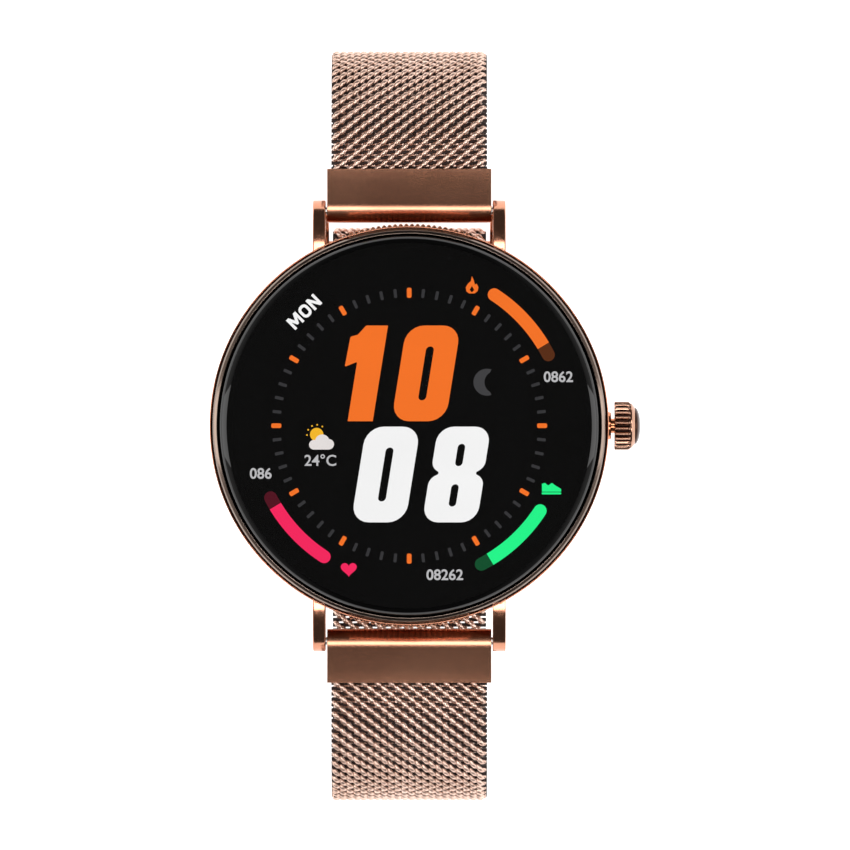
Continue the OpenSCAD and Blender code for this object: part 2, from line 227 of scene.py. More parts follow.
@dataclass(frozen=True)
class PlatedMetal:
    """Metal with a plated or bare surface, its grain and its slight unevenness."""

    name: str
    light: tuple
    dark: tuple
    rough: tuple[float, float] = (0.16, 0.24)
    grain: Point3 = (1.5, 1.5, 1.5)
    depth: float = 0.001
    strength: float = 0.25

    def build(self) -> bpy.types.Material:
        """Makes the material.

        Returns:
            The node material.
        """
        nodes = Nodes(self.name)
        grain = nodes.noise(self.grain, 4.0)
        cloud = nodes.noise((0.12, 0.12, 0.12), 2.0)
        nodes.link(nodes.ramp(cloud, [(0.35, self.dark), (0.65, self.light)]),
                   nodes.shader.inputs["Base Color"])
        nodes.link(nodes.spread(grain, *self.rough), nodes.shader.inputs["Roughness"])
        nodes.bump(grain, self.depth, self.strength)
        nodes.set(Metallic=1.0)
        return nodes.material


@dataclass(frozen=True)
class Moulded:
    """Plastic, rubber, film or coated board with a fine surface grain."""

    name: str
    light: tuple
    dark: tuple
    rough: tuple[float, float] = (0.4, 0.55)
    grain: float = 6.0
    coat: float = 0.0

    def build(self) -> bpy.types.Material:
        """Makes the material.

        Returns:
            The node material.
        """
        nodes = Nodes(self.name)
        grain = nodes.noise((self.grain,) * 3, 5.0)
        nodes.link(nodes.ramp(grain, [(0.35, self.dark), (0.65, self.light)]),
                   nodes.shader.inputs["Base Color"])
        nodes.link(nodes.spread(grain, *self.rough), nodes.shader.inputs["Roughness"])
        nodes.bump(grain, 0.01, 0.3)
        nodes.set(Coat_Weight=self.coat)
        return nodes.material


@dataclass(frozen=True)
class TracedBoard:
    """Circuit board: solder mask over a grid of copper tracks."""

    name: str
    mask: tuple
    track: tuple

    def build(self) -> bpy.types.Material:
        """Makes the material.

        Returns:
            The node material.
        """
        nodes = Nodes(self.name)
        brick = nodes.new("ShaderNodeTexBrick")
        brick.inputs["Color1"].default_value = self.mask
        brick.inputs["Color2"].default_value = tuple(c * 0.8 for c in self.mask[:3]) + (1.0,)
        brick.inputs["Mortar"].default_value = self.track
        brick.inputs["Scale"].default_value = 1.0
        brick.inputs["Mortar Size"].default_value = 0.06
        brick.inputs["Brick Width"].default_value = 1.1
        brick.inputs["Row Height"].default_value = 0.45
        nodes.link(nodes.space((1.0, 1.0, 1.0)), brick.inputs["Vector"])
        nodes.link(brick.outputs["Color"], nodes.shader.inputs["Base Color"])
        nodes.link(nodes.spread(nodes.noise((3, 3, 3)), 0.3, 0.45), nodes.shader.inputs["Roughness"])
        nodes.bump(brick.outputs["Fac"], 0.02, 0.4)
        return nodes.material


@dataclass(frozen=True)
class ClearGlass:
    """Polished glass whose tint is very slightly uneven."""

    name: str
    tint: tuple
    shine: float = 0.5

    def build(self) -> bpy.types.Material:
        """Makes the material.

        Returns:
            The node material.
        """
        nodes = Nodes(self.name)
        smear = nodes.noise((0.08, 0.2, 0.1), 2.0)
        hazy = tuple(c * 0.97 for c in self.tint[:3]) + (1.0,)
        nodes.link(nodes.ramp(smear, [(0.3, hazy), (0.7, self.tint)]), nodes.shader.inputs["Base Color"])
        nodes.set(Roughness=0.0, Transmission_Weight=1.0, IOR=1.45, Specular_IOR_Level=self.shine)
        return nodes.material


@dataclass(frozen=True)
class InkedGlass:
    """Polished glass with black ink behind it, so that it shows only its reflections."""

    name: str
    shine: float = 0.5

    def build(self) -> bpy.types.Material:
        """Makes the material.

        Returns:
            The node material.
        """
        nodes = Nodes(self.name)
        smear = nodes.noise((0.3, 0.5, 0.3), 2.0)
        ink = [(0.3, (0.0004, 0.0004, 0.0004, 1)), (0.7, (0.0008, 0.0008, 0.0009, 1))]
        nodes.link(nodes.ramp(smear, ink), nodes.shader.inputs["Base Color"])
        nodes.link(nodes.spread(smear, 0.01, 0.04), nodes.shader.inputs["Roughness"])
        nodes.set(IOR=1.45, Specular_IOR_Level=self.shine)
        return nodes.material


@dataclass(frozen=True)
class DeepBlack:
    """Black ink or an unlit display: very dark, with a barely visible fine lattice."""

    name: str
    level: float = 0.0006

    def build(self) -> bpy.types.Material:
        """Makes the material.

        Returns:
            The node material.
        """
        nodes = Nodes(self.name)
        grain = nodes.noise((14, 14, 14), 2.0)
        low, high = self.level * 0.6, self.level
        nodes.link(nodes.ramp(grain, [(0.4, (low, low, low, 1)), (0.6, (high, high, high * 1.2, 1))]),
                   nodes.shader.inputs["Base Color"])
        nodes.link(nodes.spread(grain, 0.8, 1.0), nodes.shader.inputs["Roughness"])
        nodes.set(Specular_IOR_Level=0.0)
        return nodes.material


@dataclass(frozen=True)
class LitArea:
    """A lit area of the display, with its fine lattice of dots."""

    name: str
    colour: tuple
    strength: float = 1.0

    def build(self) -> bpy.types.Material:
        """Makes the material.

        Returns:
            The node material.
        """
        nodes = Nodes(self.name)
        lattice = nodes.new("ShaderNodeTexChecker")
        lattice.inputs["Scale"].default_value = 1.0
        lattice.inputs["Color1"].default_value = self.colour
        lattice.inputs["Color2"].default_value = tuple(c * 0.93 for c in self.colour[:3]) + (1.0,)
        nodes.link(nodes.space((14.0, 14.0, 14.0)), lattice.inputs["Vector"])
        nodes.link(lattice.outputs["Color"], nodes.shader.inputs["Emission Color"])
        nodes.set(Base_Color=(0.0, 0.0, 0.0, 1.0), Emission_Strength=self.strength, Roughness=0.6,
                  Specular_IOR_Level=0.0)
        return nodes.material


@dataclass(frozen=True)
class PaleFloor:
    """A matt, evenly lit studio floor whose tone drifts very slightly."""

    name: str
    low: float = 0.86
    high: float = 0.9
    glow: float = 0.85

    def build(self) -> bpy.types.Material:
        """Makes the material.

        Returns:
            The node material.
        """
        nodes = Nodes(self.name)
        tone = nodes.noise((0.004, 0.004, 0.004), 2.0)
        nodes.link(nodes.ramp(tone, [(0.3, (self.low,) * 3 + (1,)), (0.7, (self.high,) * 3 + (1,))]),
                   nodes.shader.inputs["Base Color"])
        nodes.set(Roughness=0.9, Emission_Color=(1, 1, 1, 1), Emission_Strength=self.glow,
                  Specular_IOR_Level=0.1)
        return nodes.material


ROSE = srgb(200, 140, 112)
ROSE_DEEP = srgb(184, 124, 98)

FINISHES = {
    "polished": PlatedMetal("rose_polished", ROSE, ROSE_DEEP, (0.10, 0.17), (2, 2, 2), 0.0004, 0.2),
    "bezel": PlatedMetal("rose_bezel", srgb(128, 112, 102), srgb(116, 101, 92), (0.12, 0.18),
                         (3, 3, 3), 0.0003, 0.2),
    "brushed": PlatedMetal("rose_brushed", srgb(176, 124, 98), srgb(162, 112, 88), (0.17, 0.22),
                           (1.5, 30, 30), 0.0004, 0.15),
    "crown": PlatedMetal("rose_crown", srgb(184, 142, 120), srgb(166, 126, 106), (0.12, 0.18)),
    "copper": PlatedMetal("rose_copper", srgb(206, 132, 94), srgb(190, 118, 82), (0.14, 0.22)),
    # Dark copy of the rose gold: painted shade for the crown's flute bottoms and its dome.
    "dark": PlatedMetal("rose_painted_shade", srgb(58, 36, 29), srgb(48, 29, 23), (0.12, 0.2)),
    "wire": PlatedMetal("rose_wire", srgb(232, 200, 184), srgb(214, 180, 162), (0.26, 0.34),
                        (4, 4, 4), 0.001, 0.15),
    # Near-black wire along each mesh row: painted shade that darkens the gaps between the coils.
    "painted_shade_core_wire": Moulded("painted_shade_core_wire", srgb(44, 22, 13), srgb(32, 15, 9), (0.7, 0.8)),
    "back": PlatedMetal("rose_back", srgb(190, 150, 134), srgb(176, 136, 120), (0.34, 0.46),
                        (9, 9, 9), 0.004, 0.5),
    "steel": PlatedMetal("turned_steel", srgb(196, 194, 190), srgb(176, 174, 170), (0.2, 0.32),
                         (8, 1, 1), 0.001, 0.3),
    "screw": PlatedMetal("screw_steel", srgb(170, 140, 126), srgb(150, 120, 106), (0.24, 0.34)),
    "nickel": PlatedMetal("nickel", srgb(206, 204, 198), srgb(190, 187, 180), (0.15, 0.3)),
    "gold": PlatedMetal("gold_flash", srgb(240, 206, 128), srgb(226, 188, 108), (0.14, 0.24)),
    "foil": PlatedMetal("pouch_foil", srgb(206, 208, 212), srgb(188, 190, 196), (0.3, 0.5),
                        (1.2, 1.2, 1.2), 0.03, 0.5),
    "rubber": Moulded("black_rubber", srgb(34, 34, 34), srgb(24, 24, 24), (0.6, 0.75), 9.0),
    "plastic": Moulded("black_plastic", srgb(40, 40, 42), srgb(30, 30, 32), (0.45, 0.6), 7.0),
    "chip": Moulded("chip_package", srgb(38, 38, 42), srgb(28, 28, 30), (0.4, 0.55), 12.0),
    "film": Moulded("amber_film", srgb(206, 142, 54), srgb(184, 118, 40), (0.25, 0.4), 4.0, 0.3),
    "led": Moulded("led_package", srgb(150, 226, 170), srgb(120, 204, 146), (0.1, 0.2), 3.0, 0.6),
    "board": TracedBoard("circuit_board", srgb(16, 78, 52), srgb(52, 122, 78)),
    "glass": ClearGlass("cover_glass", (1.0, 1.0, 1.0, 1.0), 0.15),
    "glass_rim": InkedGlass("cover_glass_rim", 0.42),
    "sensor": ClearGlass("sensor_glass", (0.10, 0.08, 0.09, 1.0)),
    "ink": DeepBlack("black_ink"),
    "orange": LitArea("lit_orange", srgb(255, 120, 40)),
    "orange_dim": LitArea("lit_orange_dim", srgb(92, 46, 20)),
    "pink": LitArea("lit_pink", srgb(255, 40, 98)),
    "pink_dim": LitArea("lit_pink_dim", srgb(84, 16, 32)),
    "green": LitArea("lit_green", srgb(36, 255, 144)),
    "green_dim": LitArea("lit_green_dim", srgb(14, 82, 46)),
    "white": LitArea("lit_white", srgb(255, 255, 255)),
    "pearl": LitArea("lit_pearl", srgb(238, 232, 230)),
    "silver": LitArea("lit_silver", srgb(196, 196, 198)),
    "yellow": LitArea("lit_yellow", srgb(255, 192, 44)),
    "grey": LitArea("lit_grey", srgb(66, 66, 68)),
    "slate": LitArea("lit_slate", srgb(54, 54, 56)),
    "floor": PaleFloor("pale_floor"),
}


class Palette:
    """Builds each finish once and hands out its material."""

    def __init__(self) -> None:
        """Starts with no material made."""
        self._made: dict[str, bpy.types.Material] = {}

    def __getitem__(self, key: str) -> bpy.types.Material:
        """Looks up a finish's material, which is made at its first use.

        Args:
            key: a key of FINISHES.

        Returns:
            The material.
        """
        if key not in self._made:
            self._made[key] = FINISHES[key].build()
        return self._made[key]


PALETTE = Palette()

# ---------------------------------------------------------------------------
# Mesh kit
# ---------------------------------------------------------------------------


def link_mesh(name: str, mesh: bpy.types.Mesh, finish: str) -> bpy.types.Object:
    """Puts a mesh in the scene as a piece with a finish.

    Args:
        name: the piece's name.
        mesh: its mesh, in metres.
        finish: a key of FINISHES.

    Returns:
        The piece.
    """
    mesh.materials.clear()
    mesh.materials.append(PALETTE[finish])
    piece = bpy.data.objects.new(name, mesh)
    bpy.context.scene.collection.objects.link(piece)
    return piece


def solid(name: str, points: list, faces: list, finish: str, smooth: bool = True) -> bpy.types.Object:
    """Makes a piece from points in millimetres and faces.

    Args:
        name: the piece's name.
        points: its corners.
        faces: tuples of corner numbers.
        finish: a key of FINISHES.
        smooth: whether faces are shaded smooth.

    Returns:
        The piece, with its normals facing out.
    """
    mesh = bpy.data.meshes.new(name)
    mesh.from_pydata([[c * MM for c in p] for p in points], [], faces)
    work = bmesh.new()
    work.from_mesh(mesh)
    bmesh.ops.remove_doubles(work, verts=work.verts, dist=1e-7)
    bmesh.ops.recalc_face_normals(work, faces=work.faces)
    work.to_mesh(mesh)
    work.free()
    mesh.shade_smooth() if smooth else mesh.shade_flat()
    return link_mesh(name, mesh, finish)


def fillet(corners: list[tuple], steps: int = 4) -> list[Point2]:
    """Rounds the corners of a closed outline.

    Args:
        corners: (x, y) or (x, y, radius) for each corner in order.
        steps: how many edges a round corner gets.

    Returns:
        The outline's points.
    """
    out: list[Point2] = []
    count = len(corners)
    for i, corner in enumerate(corners):
        here = Vector(corner[:2])
        radius = corner[2] if len(corner) > 2 else 0.0
        if radius <= 0:
            out.append(tuple(here))
            continue
        before = (Vector(corners[i - 1][:2]) - here).normalized()
        after = (Vector(corners[(i + 1) % count][:2]) - here).normalized()
        half = before.angle(after) / 2
        reach = radius / math.tan(half)
        centre = here + (before + after).normalized() * radius / math.sin(half)
        first = here + before * reach - centre
        last = here + after * reach - centre
        sweep = first.angle_signed(last)
        for k in range(steps + 1):
            turn = Matrix.Rotation(-sweep * k / steps, 2)
            out.append(tuple(centre + turn @ first))
    return out


def even_normals(piece: bpy.types.Object) -> bpy.types.Object:
    """Weights normals by face area, so that flats stay flat beside their round edges.

    Args:
        piece: the piece.

    Returns:
        The piece.
    """
    weigh = piece.modifiers.new("even_normals", "WEIGHTED_NORMAL")
    weigh.weight = 60
    return piece


def soften(piece: bpy.types.Object, width: float, segments: int = 3,
           angle: float = 40.0) -> bpy.types.Object:
    """Bevels a piece's sharp edges.

    Args:
        piece: the piece.
        width: the bevel's width in millimetres.
        segments: how many faces cross the bevel.
        angle: edges sharper than this many degrees are bevelled.

    Returns:
        The piece.
    """
    bevel = piece.modifiers.new("edges", "BEVEL")
    bevel.width = width * MM
    bevel.segments = segments
    bevel.limit_method = "ANGLE"
    bevel.angle_limit = math.radians(angle)
    return even_normals(piece)


def lathe(name: str, outline: list[Point2], finish: str, segments: int = 256,
          about_x_at: float | None = None) -> bpy.types.Object:
    """Turns a closed (radius, height) outline about Z, or about the crown's axis.

    Args:
        name: the piece's name.
        outline: the closed profile.
        finish: a key of FINISHES.
        segments: how many facets go round.
        about_x_at: the height of a turning axis along X, or None for Z.

    Returns:
        The piece.
    """
    points, faces, count = [], [], len(outline)
    for i in range(segments):
        a = 2 * math.pi * i / segments
        for r, h in outline:
            x, y = r * math.cos(a), r * math.sin(a)
            points.append((x, y, h) if about_x_at is None else (h, x, y + about_x_at))
    for i in range(segments):
        for k in range(count):
            n, j = (k + 1) % count, (i + 1) % segments
            if outline[k][0] == 0 and outline[n][0] == 0:
                continue
            faces.append((i * count + k, i * count + n, j * count + n, j * count + k))
    return even_normals(solid(name, points, faces, finish))


def prism(name: str, outline: list[Point2], low: float, high: float, finish: str,
          axis: str = "X") -> bpy.types.Object:
    """Extrudes a closed outline along X from a (y, z) drawing, or along Z from an (x, y) one.

    Args:
        name: the piece's name.
        outline: the outline's points.
        low: where it starts along the axis.
        high: where it ends.
        finish: a key of FINISHES.
        axis: "X" or "Z".

    Returns:
        The piece.
    """
    count = len(outline)
    place = (lambda p, h: (h, p[0], p[1])) if axis == "X" else (lambda p, h: (p[0], p[1], h))
    points = [place(p, h) for h in (low, high) for p in outline]
    faces = [tuple(range(count)), tuple(range(2 * count - 1, count - 1, -1))]
    faces += [(k, k + count, (k + 1) % count + count, (k + 1) % count) for k in range(count)]
    return solid(name, points, faces, finish)


def rod(name: str, start: Point3, end: Point3, radius: float, finish: str,
        sides: int = 48) -> bpy.types.Object:
    """Makes a round rod between two points, mostly as a tool for drilling.

    Args:
        name: the rod's name.
        start: the middle of one end.
        end: the middle of the other end.
        radius: its radius.
        finish: a key of FINISHES.
        sides: how many facets go round.

    Returns:
        The rod.
    """
    a, b = Vector(start), Vector(end)
    along = (b - a).normalized()
    side = along.orthogonal().normalized()
    up = along.cross(side)
    ring = [math.cos(t) * side + math.sin(t) * up
            for t in (2 * math.pi * i / sides for i in range(sides))]
    points = [tuple(p + radius * d) for p in (a, b) for d in ring]
    faces = [tuple(range(sides)), tuple(range(2 * sides - 1, sides - 1, -1))]
    faces += [(k, k + sides, (k + 1) % sides + sides, (k + 1) % sides) for k in range(sides)]
    return solid(name, points, faces, finish)


def box_tool(low: Point3, high: Point3) -> bpy.types.Object:
    """Makes a block that cuts a slot and is then removed.

    Args:
        low: its lowest corner.
        high: its highest corner.

    Returns:
        The block.
    """
    outline = [(low[0], low[1]), (high[0], low[1]), (high[0], high[1]), (low[0], high[1])]
    return prism("tool", outline, low[2], high[2], "steel", "Z")


def carve(piece: bpy.types.Object, tools: list[bpy.types.Object]) -> bpy.types.Object:
    """Cuts tools out of a piece and removes them.

    Args:
        piece: the piece that is cut.
        tools: closed objects, each of which is taken away and deleted.

    Returns:
        The piece.
    """
    for tool in tools:
        cut = piece.modifiers.new("cut", "BOOLEAN")
        cut.operation = "DIFFERENCE"
        cut.solver = "EXACT"
        cut.object = tool
        piece.modifiers.move(len(piece.modifiers) - 1, 0)
        others = [modifier for modifier in piece.modifiers if modifier != cut]
        for modifier in others:
            modifier.show_viewport = False
        bpy.context.view_layer.update()
        mesh = bpy.data.meshes.new_from_object(piece.evaluated_get(bpy.context.evaluated_depsgraph_get()))
        for modifier in others:
            modifier.show_viewport = True
        piece.modifiers.remove(cut)
        finish = piece.data.materials[0]
        piece.data = mesh
        mesh.materials.clear()
        mesh.materials.append(finish)
        mesh.polygons.foreach_set("material_index", np.zeros(len(mesh.polygons), dtype=np.int32))
        bpy.data.objects.remove(tool)
    return piece


def settle(piece: bpy.types.Object, body: str, material_slot: str, *nodes: str) -> bpy.types.Object:
    """Rides a piece on its body and the nodes that it stands for.

    Args:
        piece: the finished piece.
        body: the moving body that carries it.
        material_slot: the record's slot for its finish; not used.
        nodes: the plain solids that it replaces.

    Returns:
        The piece.
    """
    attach(piece, body)
    if nodes:
        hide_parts(*nodes)
    LOG.info("piece %s rides on %s", piece.name, body)
    return piece


# ---------------------------------------------------------------------------
# Watch case
# ---------------------------------------------------------------------------


@dataclass
class CaseAssembly:
    """The case band with its lugs and coin edge, the bezel, the glass and the back."""

    radius: float = 21.5
    wall: float = 1.9
    foot: float = 1.0
    band_top: float = 7.6
    bezel_radius: float = 21.15
    bezel_top: float = 9.3
    glass_radius: float = 20.5
    glass_top: float = 10.25
    glass_seat: float = 8.3
    lug_inner: float = 9.0
    lug_width: float = 1.4
    lug_root: float = 17.5
    lug_arch: Point2 = (6.85, 4.2)
    lug_arch_base: float = 3.0
    lug_tip: Point2 = (24.35, 1.8)
    lug_tip_radius: float = 0.8
    lug_hole: float = 0.48
    bar_y: float = 23.2
    bar_z: float = 3.2
    knurl_teeth: int = 22
    knurl_pitch: float = 1.6
    knurl_rise: float = 0.26
    knurl_span: Point2 = (2.6, 7.35)
    crown_z: float = 4.8
    crown_hole: float = 1.5
    speaker_hole: float = 0.4
    rim_width: float = 0.85
    rim_slopes: Point2 = (22, 82)
    screw_ring: float = 17.4
    screw_hole: float = 1.05
    contact_hole: float = 0.85
    body: str = "watch_case"

    def band(self) -> bpy.types.Object:
        """Turns the case band and cuts the crown's hole and the speaker holes.

        Returns:
            The band.
        """
        inner = self.radius - self.wall
        outline = fillet([
            (self.radius - 1.4, self.foot), (self.radius - 0.75, self.foot, 0.2),
            (self.radius, self.foot + 0.85, 0.7), (self.radius, self.band_top, 0.1),
            (self.radius - 0.14, self.band_top, 0.03), (self.radius - 0.14, self.band_top - 0.55),
            (self.radius - 0.55, self.band_top - 0.55), (self.radius - 0.55, self.band_top),
            (inner - 1, self.band_top), (inner - 1, self.band_top - 0.7), (inner, self.band_top - 0.7),
            (inner, 1.9), (self.radius - 1.4, 1.9)], 5)
        piece = lathe("case_band", outline, "polished", 288)
        tools = [rod("tool", (18, 0, self.crown_z), (23, 0, self.crown_z), self.crown_hole, "steel")]
        tools += [rod("tool", (-23, y, 3.9), (-14.6, y, 3.9), self.speaker_hole, "steel", 24)
                  for y in (-14.4, -13.1)]
        return settle(carve(piece, tools), self.body, "rose_gold_polished", "case_middle")

    def lug(self, side: Side, hand: int) -> bpy.types.Object:
        """Makes one slender lug that curves down to its rounded tip.

        Args:
            side: the strap side.
            hand: 1 at the crown's side and -1 at the other.

        Returns:
            The lug.
        """
        reach, rise = self.lug_arch
        arch = [(self.lug_root + reach * math.sin(a), self.lug_arch_base + rise * math.cos(a))
                for a in (math.radians(5 * i) for i in range(1, 18))]
        shoulder = (self.lug_root, self.lug_arch_base + rise)
        outline = fillet([shoulder] + arch + [(*self.lug_tip, self.lug_tip_radius),
                                                 (self.lug_root, self.lug_tip[1])], 6)
        outline = [(y * side.value, z) for y, z in outline]
        low = self.lug_inner if hand > 0 else -self.lug_inner - self.lug_width
        name = f"lug_{side.name.lower()}_{'right' if hand > 0 else 'left'}"
        piece = prism(name, outline, low, low + self.lug_width, "polished")
        inner = rod("tool", (0, 0, -1), (0, 0, 12), self.radius - 0.5, "steel", 128)
        axis_y = self.bar_y * side.value
        hole = rod("tool", (hand * 8.5, axis_y, self.bar_z), (hand * 9.9, axis_y, self.bar_z),
                   self.lug_hole, "steel", 32)
        soften(carve(piece, [inner, hole]), 0.16, 3, 50)
        return settle(piece, self.body, "rose_gold_polished")

    def coin_edge(self, side: Side) -> bpy.types.Object:
        """Makes the short fluted patch on the band between a pair of lugs.

        Args:
            side: the strap side that it faces.

        Returns:
            The patch.
        """
        middle = 90 * side.value
        half = self.knurl_teeth * self.knurl_pitch / 2
        steps = 8
        crest, valley, root = self.radius + self.knurl_rise, self.radius - 0.06, self.radius - 0.7
        outline = []
        for i in range(self.knurl_teeth * steps + 1):
            a = math.radians(middle - half + i * self.knurl_pitch / steps)
            wave = abs(math.sin(math.pi * i / steps)) ** 0.7
            r = valley + (crest - valley) * wave
            outline.append((r * math.cos(a), r * math.sin(a)))
        for a in (math.radians(middle + half - t) for t in np.linspace(0, 2 * half, 12)):
            outline.append((root * math.cos(a), root * math.sin(a)))
        piece = prism(f"coin_edge_{side.name.lower()}", outline, *self.knurl_span, "polished", "Z")
        soften(piece, 0.12, 2, 60)
        return settle(piece, self.body, "rose_gold_polished")

    def bezel(self) -> bpy.types.Object:
        """Turns the polished bezel ring with its shadow groove below.

        Returns:
            The ring.
        """
        inner = self.glass_radius + 0.1
        outline = fillet([
            (20.0, self.band_top), (self.bezel_radius - 0.4, self.band_top),
            (self.bezel_radius - 0.4, self.band_top + 0.3), (self.bezel_radius, self.band_top + 0.3, 0.08),
            (self.bezel_radius, self.bezel_top - 0.42, 0.1),
            (self.bezel_radius - 0.14, self.bezel_top - 0.16, 0.12),
            (inner + 0.1, self.bezel_top + 0.04, 0.06), (inner, self.bezel_top - 0.1, 0.04),
            (inner, self.glass_seat - 0.1), (20.0, self.glass_seat - 0.1)], 4)
        return settle(lathe("bezel", outline, "bezel", 288), self.body, "rose_gold_bezel", "bezel_ring")

    def glass(self) -> bpy.types.Object:
        """Turns the cover glass with its curved rim, which has black ink behind it.

        Returns:
            The glass.
        """
        start, steep = (math.radians(slope) for slope in self.rim_slopes)
        inner = self.glass_radius - self.rim_width
        curve = (self.glass_radius - inner) / (math.sin(steep) - math.sin(start))
        rim = [(inner + curve * (math.sin(a) - math.sin(start)),
                self.glass_top - curve * (math.cos(start) - math.cos(a)))
               for a in np.linspace(start, steep, 16)]
        flat = [(r, self.glass_top) for r in (0, 8, 14, 18, 19.2)]
        outline = [(0, self.glass_seat)] + flat + rim
        outline += [(self.glass_radius, self.glass_seat + 0.15), (self.glass_radius - 0.15, self.glass_seat)]
        piece = lathe("glass", outline, "glass", 288)
        piece.data.materials.append(PALETTE["glass_rim"])
        for face in piece.data.polygons:
            if face.center.to_2d().length > inner * MM:
                face.material_index = 1
        points = piece.data.vertices
        for edge in piece.data.edges:
            reach = [points[i].co.to_2d().length / MM for i in edge.vertices]
            edge.use_edge_sharp = all(abs(r - inner) < 0.001 for r in reach)
        piece.modifiers["even_normals"].keep_sharp = True
        return settle(piece, self.body, "cover_glass", "cover_glass")

    def ink_border(self) -> bpy.types.Object:
        """Makes the black ring printed under the glass around the lit area.

        Returns:
            The ring of ink.
        """
        outline = [(18.9, self.glass_seat - 0.035), (20.0, self.glass_seat - 0.035),
                   (20.0, self.glass_seat - 0.015), (18.9, self.glass_seat - 0.015)]
        return settle(lathe("ink_border", outline, "ink", 192), self.body, "display")

    def back(self) -> bpy.types.Object:
        """Turns the back cover and cuts its screw holes and contact holes.

        Returns:
            The cover.
        """
        outline = fillet([
            (9.25, 0.0, 0.08), (14.0, 0.0, 3.0), (19.95, 1.0, 0.15), (20.0, 1.8), (15.7, 1.8),
            (15.7, 1.2), (9.25, 1.2)], 6)
        piece = lathe("back_plate", outline, "back", 224)
        tools = []
        for a in (math.radians(t) for t in (45, 135, 225, 315)):
            x, y = self.screw_ring * math.cos(a), self.screw_ring * math.sin(a)
            tools.append(rod("tool", (x, y, -1), (x, y, 1.1), self.screw_hole, "steel"))
        tools += [rod("tool", (x, -12.8, -1), (x, -12.8, 3), self.contact_hole, "steel")
                  for x in (-1.6, 1.6)]
        return settle(carve(piece, tools), self.body, "back_metal", "back_cover")

    def build(self) -> None:
        """Builds every piece of the case."""
        self.band()
        for side in Side:
            self.coin_edge(side)
            for hand in (-1, 1):
                self.lug(side, hand)
        self.bezel()
        self.glass()
        self.ink_border()
        self.back()


# ---------------------------------------------------------------------------
# Display
# ---------------------------------------------------------------------------


def arc(centre: Point2, radius: float, start: float, end: float, steps: int) -> list[Point2]:
    """Points on a circle from one angle to another.

    Args:
        centre: the circle's centre.
        radius: its radius.
        start: the first angle in degrees.
        end: the last angle in degrees.
        steps: how many steps lie between them.

    Returns:
        The points in order.
    """
    return [(centre[0] + radius * math.cos(math.radians(start + (end - start) * i / steps)),
             centre[1] + radius * math.sin(math.radians(start + (end - start) * i / steps)))
            for i in range(steps + 1)]


def disc(x: float, y: float, radius: float) -> list[Point2]:
    """A full circle's points."""
    return arc((x, y), radius, 0, 350, 35)


def slab(x: float, y: float, width: float, height: float, radius: float) -> list[Point2]:
    """Draws a rectangle with round corners.

    Args:
        x: its centre.
        y: its centre.
        width: its width.
        height: its height.
        radius: the corners' radius.

    Returns:
        The outline's points.
    """
    w, h = width / 2, height / 2
    return fillet([(x - w, y - h, radius), (x + w, y - h, radius), (x + w, y + h, radius),
                   (x - w, y + h, radius)], 6)


def flat_mesh(name: str, loops: list[list[Point2]], height: float, thickness: float) -> bpy.types.Mesh:
    """Fills closed loops, where a loop inside another is a hole, as a thin plate.

    Args:
        name: the mesh's name.
        loops: closed outlines in millimetres.
        height: the plate's middle height.
        thickness: the plate's thickness.

    Returns:
        The mesh in metres.
    """
    curve = bpy.data.curves.new(name, "CURVE")
    curve.dimensions = "2D"
    curve.fill_mode = "BOTH"
    curve.extrude = thickness / 2 * MM
    for loop in loops:
        spline = curve.splines.new("POLY")
        spline.points.add(len(loop) - 1)
        for point, (x, y) in zip(spline.points, loop):
            point.co = (x * MM, y * MM, 0, 1)
        spline.use_cyclic_u = True
    return curve_mesh(curve, Matrix.Translation((0, 0, height * MM)))


def curve_mesh(curve: bpy.types.Curve, place: Matrix) -> bpy.types.Mesh:
    """Turns a curve or text into a mesh.

    Args:
        curve: the curve, which is removed.
        place: where the mesh goes.

    Returns:
        The mesh.
    """
    carrier = bpy.data.objects.new("carrier", curve)
    bpy.context.scene.collection.objects.link(carrier)
    bpy.context.view_layer.update()
    mesh = bpy.data.meshes.new_from_object(carrier.evaluated_get(bpy.context.evaluated_depsgraph_get()))
    bpy.data.objects.remove(carrier)
    mesh.transform(place)
    work = bmesh.new()
    work.from_mesh(mesh)
    bmesh.ops.remove_doubles(work, verts=work.verts, dist=1e-8)
    bmesh.ops.recalc_face_normals(work, faces=work.faces)
    work.to_mesh(mesh)
    work.free()
    return mesh


